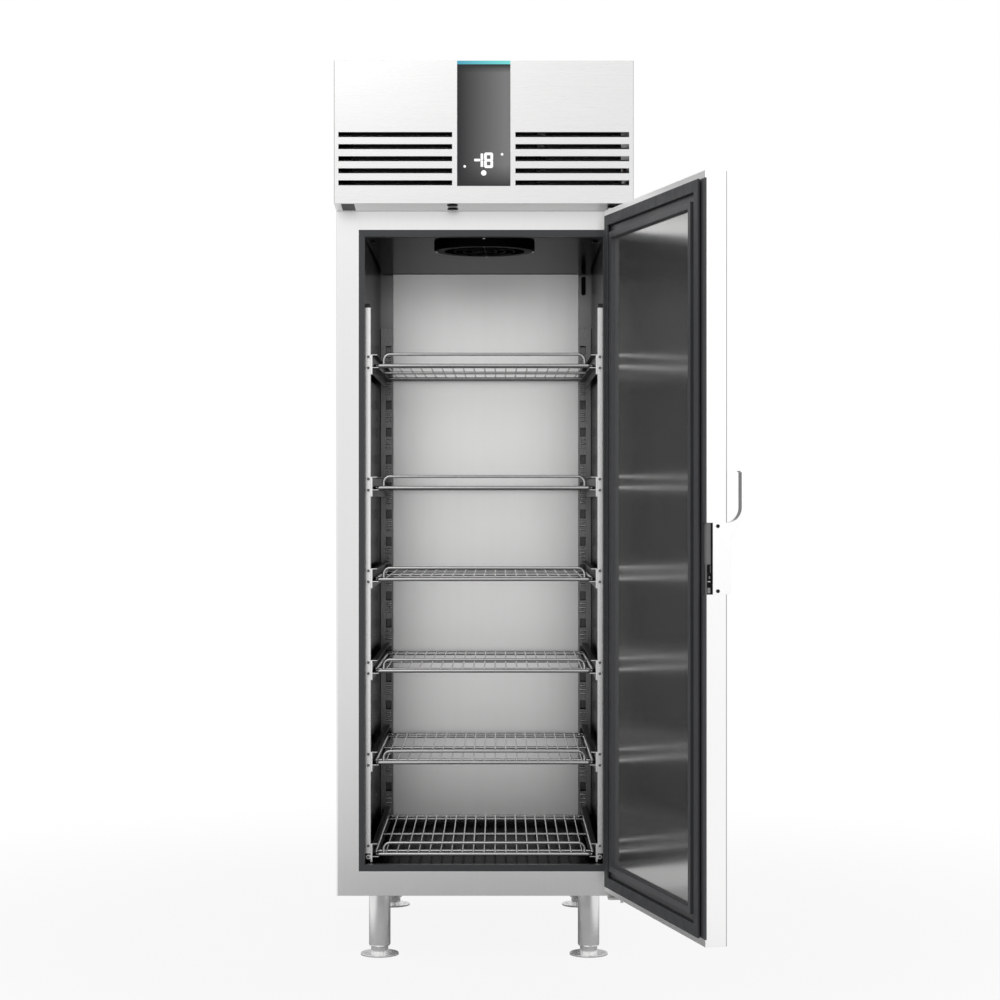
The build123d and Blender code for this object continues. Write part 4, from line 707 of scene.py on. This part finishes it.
def slab(outline, low, high, soft=0.0):
    """A flat form with an outline in X and Y, from low to high in Z, its top edge chamfered."""
    levels = [[(x, y, low) for x, y in outline], [(x, y, high - soft) for x, y in outline]]
    if soft:
        total = Vector((sum(x for x, y in outline), sum(y for x, y in outline)))
        middle = total / len(outline)
        top = []
        for x, y in outline:
            inward = middle - Vector((x, y))
            inward = inward.normalized() * min(soft, inward.length * 0.5)
            top.append((x + inward.x, y + inward.y, high))
        levels.append(top)
    return rings(levels)


def rounded(width, height, radius, steps=5):
    """Outline of a rounded rectangle about the origin."""
    points = []
    for n, (sx, sy) in enumerate(((1, 1), (-1, 1), (-1, -1), (1, -1))):
        for step in range(steps + 1):
            angle = math.radians(90 * n + 90 * step / steps)
            points.append((sx * (width / 2 - radius) + radius * math.cos(angle),
                           sy * (height / 2 - radius) + radius * math.sin(angle)))
    return points


def rounded_between(x0, x1, y0, y1, radius):
    """Outline of a rounded rectangle between two corners."""
    return [(u + (x0 + x1) / 2, v + (y0 + y1) / 2) for u, v in rounded(x1 - x0, y1 - y0, radius)]


def cross_screw(radius, height):
    """A pan head with a cross recess, its seat at z = 0."""
    shoulder_radius, shoulder_height = SCREW_SHOULDER
    code = rings([circle(radius, 0), circle(radius, height * SCREW_FLANK),
                  circle(radius * shoulder_radius, height * shoulder_height),
                  circle(radius * SCREW_TOP, height)], closed_ends=False)
    code.faces.new([v for v in code.verts if abs(v.co.z) < SAME_HEIGHT][::-1])
    a, b = radius * RECESS_HALF, radius * RECESS_REACH
    plus = [(b, a), (a, a), (a, b), (-a, b), (-a, a), (-b, a), (-b, -a), (-a, -a), (-a, -b),
            (a, -b), (a, -a), (b, -a)]
    brim = [code.verts.new((x, y, height)) for x, y in plus]
    floor = [code.verts.new((x, y, height * RECESS_FLOOR)) for x, y in plus]
    edges = []
    for n in range(len(plus)):
        m = (n + 1) % len(plus)
        edges.append(code.edges.new((brim[n], brim[m])))
        code.faces.new((brim[n], brim[m], floor[m], floor[n]))
    code.faces.new(floor)
    edges += [e for e in code.edges if e.is_boundary and e not in edges
              and all(abs(v.co.z - height) < SAME_HEIGHT for v in e.verts)]
    bmesh.ops.triangle_fill(code, edges=edges, use_beauty=True)
    return code


def screw_heads(places, head):
    """Cross-recess heads, each place a seat's centre and the direction that the head faces."""
    return [(cross_screw(*head), facing(centre, out)) for centre, out in places]


def frame_ring(section, inner, outer):
    """A ring round the door. The section's points are (share from inner to outer, y)."""
    levels = [[(ix + (ox - ix) * u, y, iz + (oz - iz) * u) for u, y in section]
              for (ix, iz), (ox, oz) in zip(inner, outer)]
    code = rings(levels + [levels[0]], closed_ends=False)
    bmesh.ops.remove_doubles(code, verts=code.verts, dist=SAME_POINT)
    return code


def corners(half, low, high):
    return [(-half, low), (half, low), (half, high), (-half, high)]


# Pieces added to the CAD nodes
def piece(name, mesh_code, material, body, matrix=None, stands_for=()):
    """Turns mesh code in millimetres into a piece of the object."""
    if matrix is not None:
        bmesh.ops.transform(mesh_code, matrix=matrix, verts=mesh_code.verts)
    bmesh.ops.scale(mesh_code, vec=(MM, MM, MM), verts=mesh_code.verts)
    bmesh.ops.recalc_face_normals(mesh_code, faces=mesh_code.faces)
    mesh = bpy.data.meshes.new(name)
    mesh_code.to_mesh(mesh)
    mesh_code.free()
    mesh.materials.append(material)
    thing = bpy.data.objects.new(name, mesh)
    bpy.context.scene.collection.objects.link(thing)
    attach(thing, body)
    if stands_for:
        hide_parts(*stands_for)


def cabinet_screws():
    """The screws of the runners and of the hinge brackets."""
    rails = [(side * RUNNER_SCREW_X, FIRST_NOTCH + NOTCH_PITCH * notch)
             for notch in SHELF_NOTCHES for side in (-1, 1)]
    runners = [((x, RUNNER_FRONT, z + rise), FRONT) for x, z in rails
               for rise in RUNNER_SCREW_RISES]
    hinges = [((x, FRONT_Y - HINGE_FLANGE, z), FRONT) for x in HINGE_SCREW_X for z in HINGE_SCREW_Z]
    heads = screw_heads(runners, RUNNER_HEAD) + screw_heads(hinges, HINGE_HEAD)
    piece("cross_recess_screws", merged(heads), dark_fixing, "cabinet",
          stands_for=("fixing_screws",))


def upright_bridges():
    """The half-round bridges pressed out of the rear uprights between their windows."""
    angles = [math.radians(a) for a in range(0, 181, 20)]
    arc = [(BRIDGE_HALF_HEIGHT * math.cos(a), BRIDGE_DEPTH * math.sin(a)) for a in angles]
    bar = rings([[(x, -v - BRIDGE_SINK, u) for u, v in arc] for x in (-BRIDGE_HALF, BRIDGE_HALF)])
    shapes = []
    for notch in range(NOTCHES):
        for rise in BRIDGE_RISES:
            z = FIRST_NOTCH + WINDOW_RISE + NOTCH_PITCH * notch + rise
            for side in (-1, 1):
                shapes.append((bar, Matrix.Translation((side * BRIDGE_X, BRIDGE_Y, z))))
    piece("upright_bridges", merged(shapes), bright, "cabinet")


def door_gasket():
    section = [(share, DOOR_INNER + proud) for share, proud in GASKET_SECTION]
    code = frame_ring(section, corners(*GASKET_INNER), corners(*GASKET_OUTER))
    piece("bellows_gasket", code, gasket_rubber, "door", door_matrix(),
          ("door_gasket",))


def handle_screws():
    places = [((-DOOR_HALF - HANDLE_WRAP, DOOR_INNER - HANDLE_SCREW_DEPTH, z), LEFT)
              for z in HANDLE_SCREW_Z]
    piece("cross_recess_handle_screws", merged(screw_heads(places, HANDLE_HEAD)), black_fixing,
          "door", door_matrix(), ("handle_screws",))


def lock_details():
    """What shows of the lock in the recess of the door's edge."""
    lay = Matrix(((0, 0, -1, -DOOR_HALF), (1, 0, 0, 0), (0, 1, 0, 0), (0, 0, 0, 1)))
    for name, material, z0, z1, depth, front, rear in LOCK_PLATES:
        outline = rounded_between(RECESS_FRONT + front, RECESS_REAR - rear, z0, z1,
                                  min(0.5, (z1 - z0) / 3))
        code = slab(outline, -LOCK_PLATE_DEPTH, -depth, LOCK_PLATE_SOFT)
        piece(name, code, material, "door", door_matrix() @ lay)


def display_digits():
    """The display's digits and marks, printed on the glass."""
    bars = list(DISPLAY_BARS) + [(x - r, x + r, z - r, z + r, r * LAMP_ROUNDNESS)
                                 for x, z, r in DISPLAY_LAMPS]
    shapes = [(slab(rounded_between(*bar), 0.0, PRINT_THICKNESS), Matrix()) for bar in bars]
    piece("display_digits", merged(shapes), white_print, "fascia",
          upright(0, GLASS_FACE))


def fan_details():
    ring = screw_heads([((x, FAN_Y, RING_FOOT), DOWN) for x in RING_SCREW_X], RING_HEAD)
    piece("ring_screws", merged(ring), bright, "cabinet")
    ceiling = screw_heads([(CEILING_SCREW, DOWN)], CEILING_HEAD)
    piece("ceiling_screw", merged(ceiling), bright, "cabinet")
    cap = rings([circle(radius, height) for radius, height in HUB_RINGS])
    piece("hub_cap", cap, bright, "evaporator_fan",
          facing((0.0, FAN_Y, LINER_TOP + HUB_RISE), DOWN))
    strut = rings([circle(STRUT_RADIUS, z, STRUT_SIDES) for z in (0.0, STRUT_LENGTH)])
    piece("fan_strut", strut, bright, "cabinet",
          facing(STRUT_START, STRUT_RUN))


def ceiling_details():
    """The probe at the rear of the cavity and the plugs in the ceiling's corners."""
    probe = slab(rounded(*PROBE_SIZE), 0.0, PROBE_DEPTH, PROBE_SOFT)
    piece("cavity_probe", probe, deep_black, "cabinet", upright(*PROBE_PLACE))
    hang = Matrix.Translation((0, 0, LINER_TOP - PLUG_DROP)) @ Matrix.Rotation(math.pi, 4, "X")
    for side, name in ((-1, "left"), (1, "right")):
        outline = [(u + side * PLUG_X, PLUG_Y - v) for u, v in rounded(*PLUG_SIZE)]
        plug = slab(outline, 0.0, PLUG_DEPTH, PLUG_SOFT)
        piece(f"ceiling_plug_{name}", plug, deep_black, "cabinet", hang)


def fascia_clip():
    """The dark clip under the fascia beside the upper hinge."""
    piece("fascia_clip", slab(CLIP_OUTLINE, *CLIP_DEPTHS), deep_black, "fascia",
          facing(CLIP_PLACE, DOWN))
    pin = rings([circle(radius, height) for radius, height in CLIP_PIN_RINGS])
    piece("fascia_clip_pin", pin, bright, "fascia",
          facing(CLIP_PIN_PLACE, CLIP_PIN_FACING))


def back_screws():
    """Screws along the edges of the back and of the unit's rear panel."""
    places = [((side * BACK_EDGE_X, REAR_Y, z), REAR) for side in (-1, 1) for z in BACK_EDGE_Z]
    places += [((x, REAR_Y, z), REAR) for x in BACK_MIDDLE_X for z in BACK_MIDDLE_Z]
    piece("back_screws", merged(screw_heads(places, BACK_HEAD)), bright, "cabinet")


cabinet_screws()
upright_bridges()
door_gasket()
handle_screws()
lock_details()
display_digits()
fan_details()
ceiling_details()
fascia_clip()
back_screws()


# Floor, light and camera
def ray_share(tree, *kinds):
    """1 for the named kinds of ray, 0 for the rest."""
    path = tree.nodes.new("ShaderNodeLightPath")
    total = path.outputs[kinds[0]]
    for kind in kinds[1:]:
        total = calculated(tree, "MAXIMUM", total, path.outputs[kind])
    return total


def distance_from(tree, coord, x, y):
    """Distance on the floor from the point (x, y)."""
    place = tree.nodes.new("ShaderNodeVectorMath")
    place.operation = "DISTANCE"
    place.inputs[1].default_value = (x, y, 0.0)
    tree.links.new(coord, place.inputs[0])
    return place.outputs["Value"]


def axis_of(tree, vector, letter):
    split = tree.nodes.new("ShaderNodeSeparateXYZ")
    tree.links.new(vector, split.inputs["Vector"])
    return split.outputs[letter]


def white_share(tree):
    """How much of the floor is the white of the room: more further off, and beside the object."""
    coord = tree.nodes.new("ShaderNodeTexCoord").outputs["Object"]
    seen = mapped(tree, distance_from(tree, coord, 0.0, 0.0), *SEEN_WHITE)
    ahead = mapped(tree, distance_from(tree, coord, 0.0, MIRROR_SPOT_Y), *MIRRORED_WHITE)
    beside = calculated(tree, "ABSOLUTE", axis_of(tree, coord, "X"))
    mirrored = calculated(tree, "MAXIMUM", ahead, mapped(tree, beside, *MIRRORED_BESIDE))
    straight = ray_share(tree, "Is Camera Ray", "Is Transmission Ray")
    glossy = ray_share(tree, "Is Glossy Ray")
    return calculated(tree, "ADD", calculated(tree, "MULTIPLY", seen, straight),
                      calculated(tree, "MULTIPLY", mirrored, glossy), clamp=True)


def floor_material():
    material = bpy.data.materials.new("pale_floor")
    material.use_nodes = True
    tree = material.node_tree
    shader = tree.nodes["Principled BSDF"]
    shader.inputs["Base Color"].default_value = FLOOR_SHADE
    shader.inputs["Roughness"].default_value = FLOOR_ROUGHNESS
    shader.inputs["Specular IOR Level"].default_value = FLOOR_SHINE
    glow = tree.nodes.new("ShaderNodeEmission")
    glow.inputs["Color"].default_value = WHITE
    mix = tree.nodes.new("ShaderNodeMixShader")
    tree.links.new(white_share(tree), mix.inputs[0])
    tree.links.new(shader.outputs[0], mix.inputs[1])
    tree.links.new(glow.outputs[0], mix.inputs[2])
    tree.links.new(mix.outputs[0], tree.nodes["Material Output"].inputs["Surface"])
    return material


def stage_floor():
    """Pale floor. It keeps the shadow near the feet."""
    mesh = bpy.data.meshes.new("floor")
    edge = [(x * FLOOR_HALF, y * FLOOR_HALF, 0) for x, y in ((-1, -1), (1, -1), (1, 1), (-1, 1))]
    mesh.from_pydata(edge, [], [(0, 1, 2, 3)])
    floor = bpy.data.objects.new("floor", mesh)
    bpy.context.scene.collection.objects.link(floor)
    mesh.materials.append(floor_material())


def world_light():
    """White room. Metal sees it a little darker low down, to the right and to the rear."""
    world = bpy.data.worlds.new("studio")
    bpy.context.scene.world = world
    world.use_nodes = True
    tree = world.node_tree
    direction = tree.nodes.new("ShaderNodeTexCoord").outputs["Generated"]
    by_height = mapped(tree, axis_of(tree, direction, "Z"), *ROOM_BY_HEIGHT)
    right = mapped(tree, axis_of(tree, direction, "X"), *ROOM_TO_THE_RIGHT)
    far_right = mapped(tree, axis_of(tree, direction, "X"), *ROOM_FAR_RIGHT)
    rear = mapped(tree, axis_of(tree, direction, "Y"), *ROOM_TO_THE_REAR)
    gloss = calculated(tree, "MULTIPLY", by_height, calculated(tree, "ADD", right, far_right))
    gloss = calculated(tree, "MULTIPLY", gloss, rear)
    mirrored = ray_share(tree, "Is Glossy Ray", "Is Transmission Ray")
    rest = calculated(tree, "SUBTRACT", gloss, ROOM_LIGHT)
    plain = calculated(tree, "ADD", calculated(tree, "MULTIPLY", mirrored, rest), ROOM_LIGHT)
    strength = calculated(tree, "MAXIMUM", plain, ray_share(tree, "Is Camera Ray"))
    background = tree.nodes["Background"]
    background.inputs["Color"].default_value = WHITE
    tree.links.new(strength, background.inputs["Strength"])


def area_light(name, place, size, power):
    data = bpy.data.lights.new(name, "AREA")
    data.shape = "RECTANGLE"
    data.size, data.size_y = size
    data.energy = power
    lamp = bpy.data.objects.new(name, data)
    bpy.context.scene.collection.objects.link(lamp)
    lamp.location = place
    lamp.rotation_euler = (Vector(LAMP_TARGET) - Vector(place)).to_track_quat("-Z", "Y").to_euler()


def camera():
    data = bpy.data.cameras.new("camera")
    data.lens = CAMERA_LENS
    data.sensor_width = CAMERA_SENSOR
    data.shift_y = CAMERA_SHIFT_Y
    data.clip_end = CAMERA_REACH
    eye = bpy.data.objects.new("camera", data)
    bpy.context.scene.collection.objects.link(eye)
    eye.location = CAMERA_PLACE
    eye.rotation_euler = (math.radians(90), 0, 0)
    bpy.context.scene.camera = eye


stage_floor()
world_light()
for lamp_facts in LAMPS:
    area_light(*lamp_facts)
camera()
bpy.context.scene.view_settings.view_transform = "Standard"
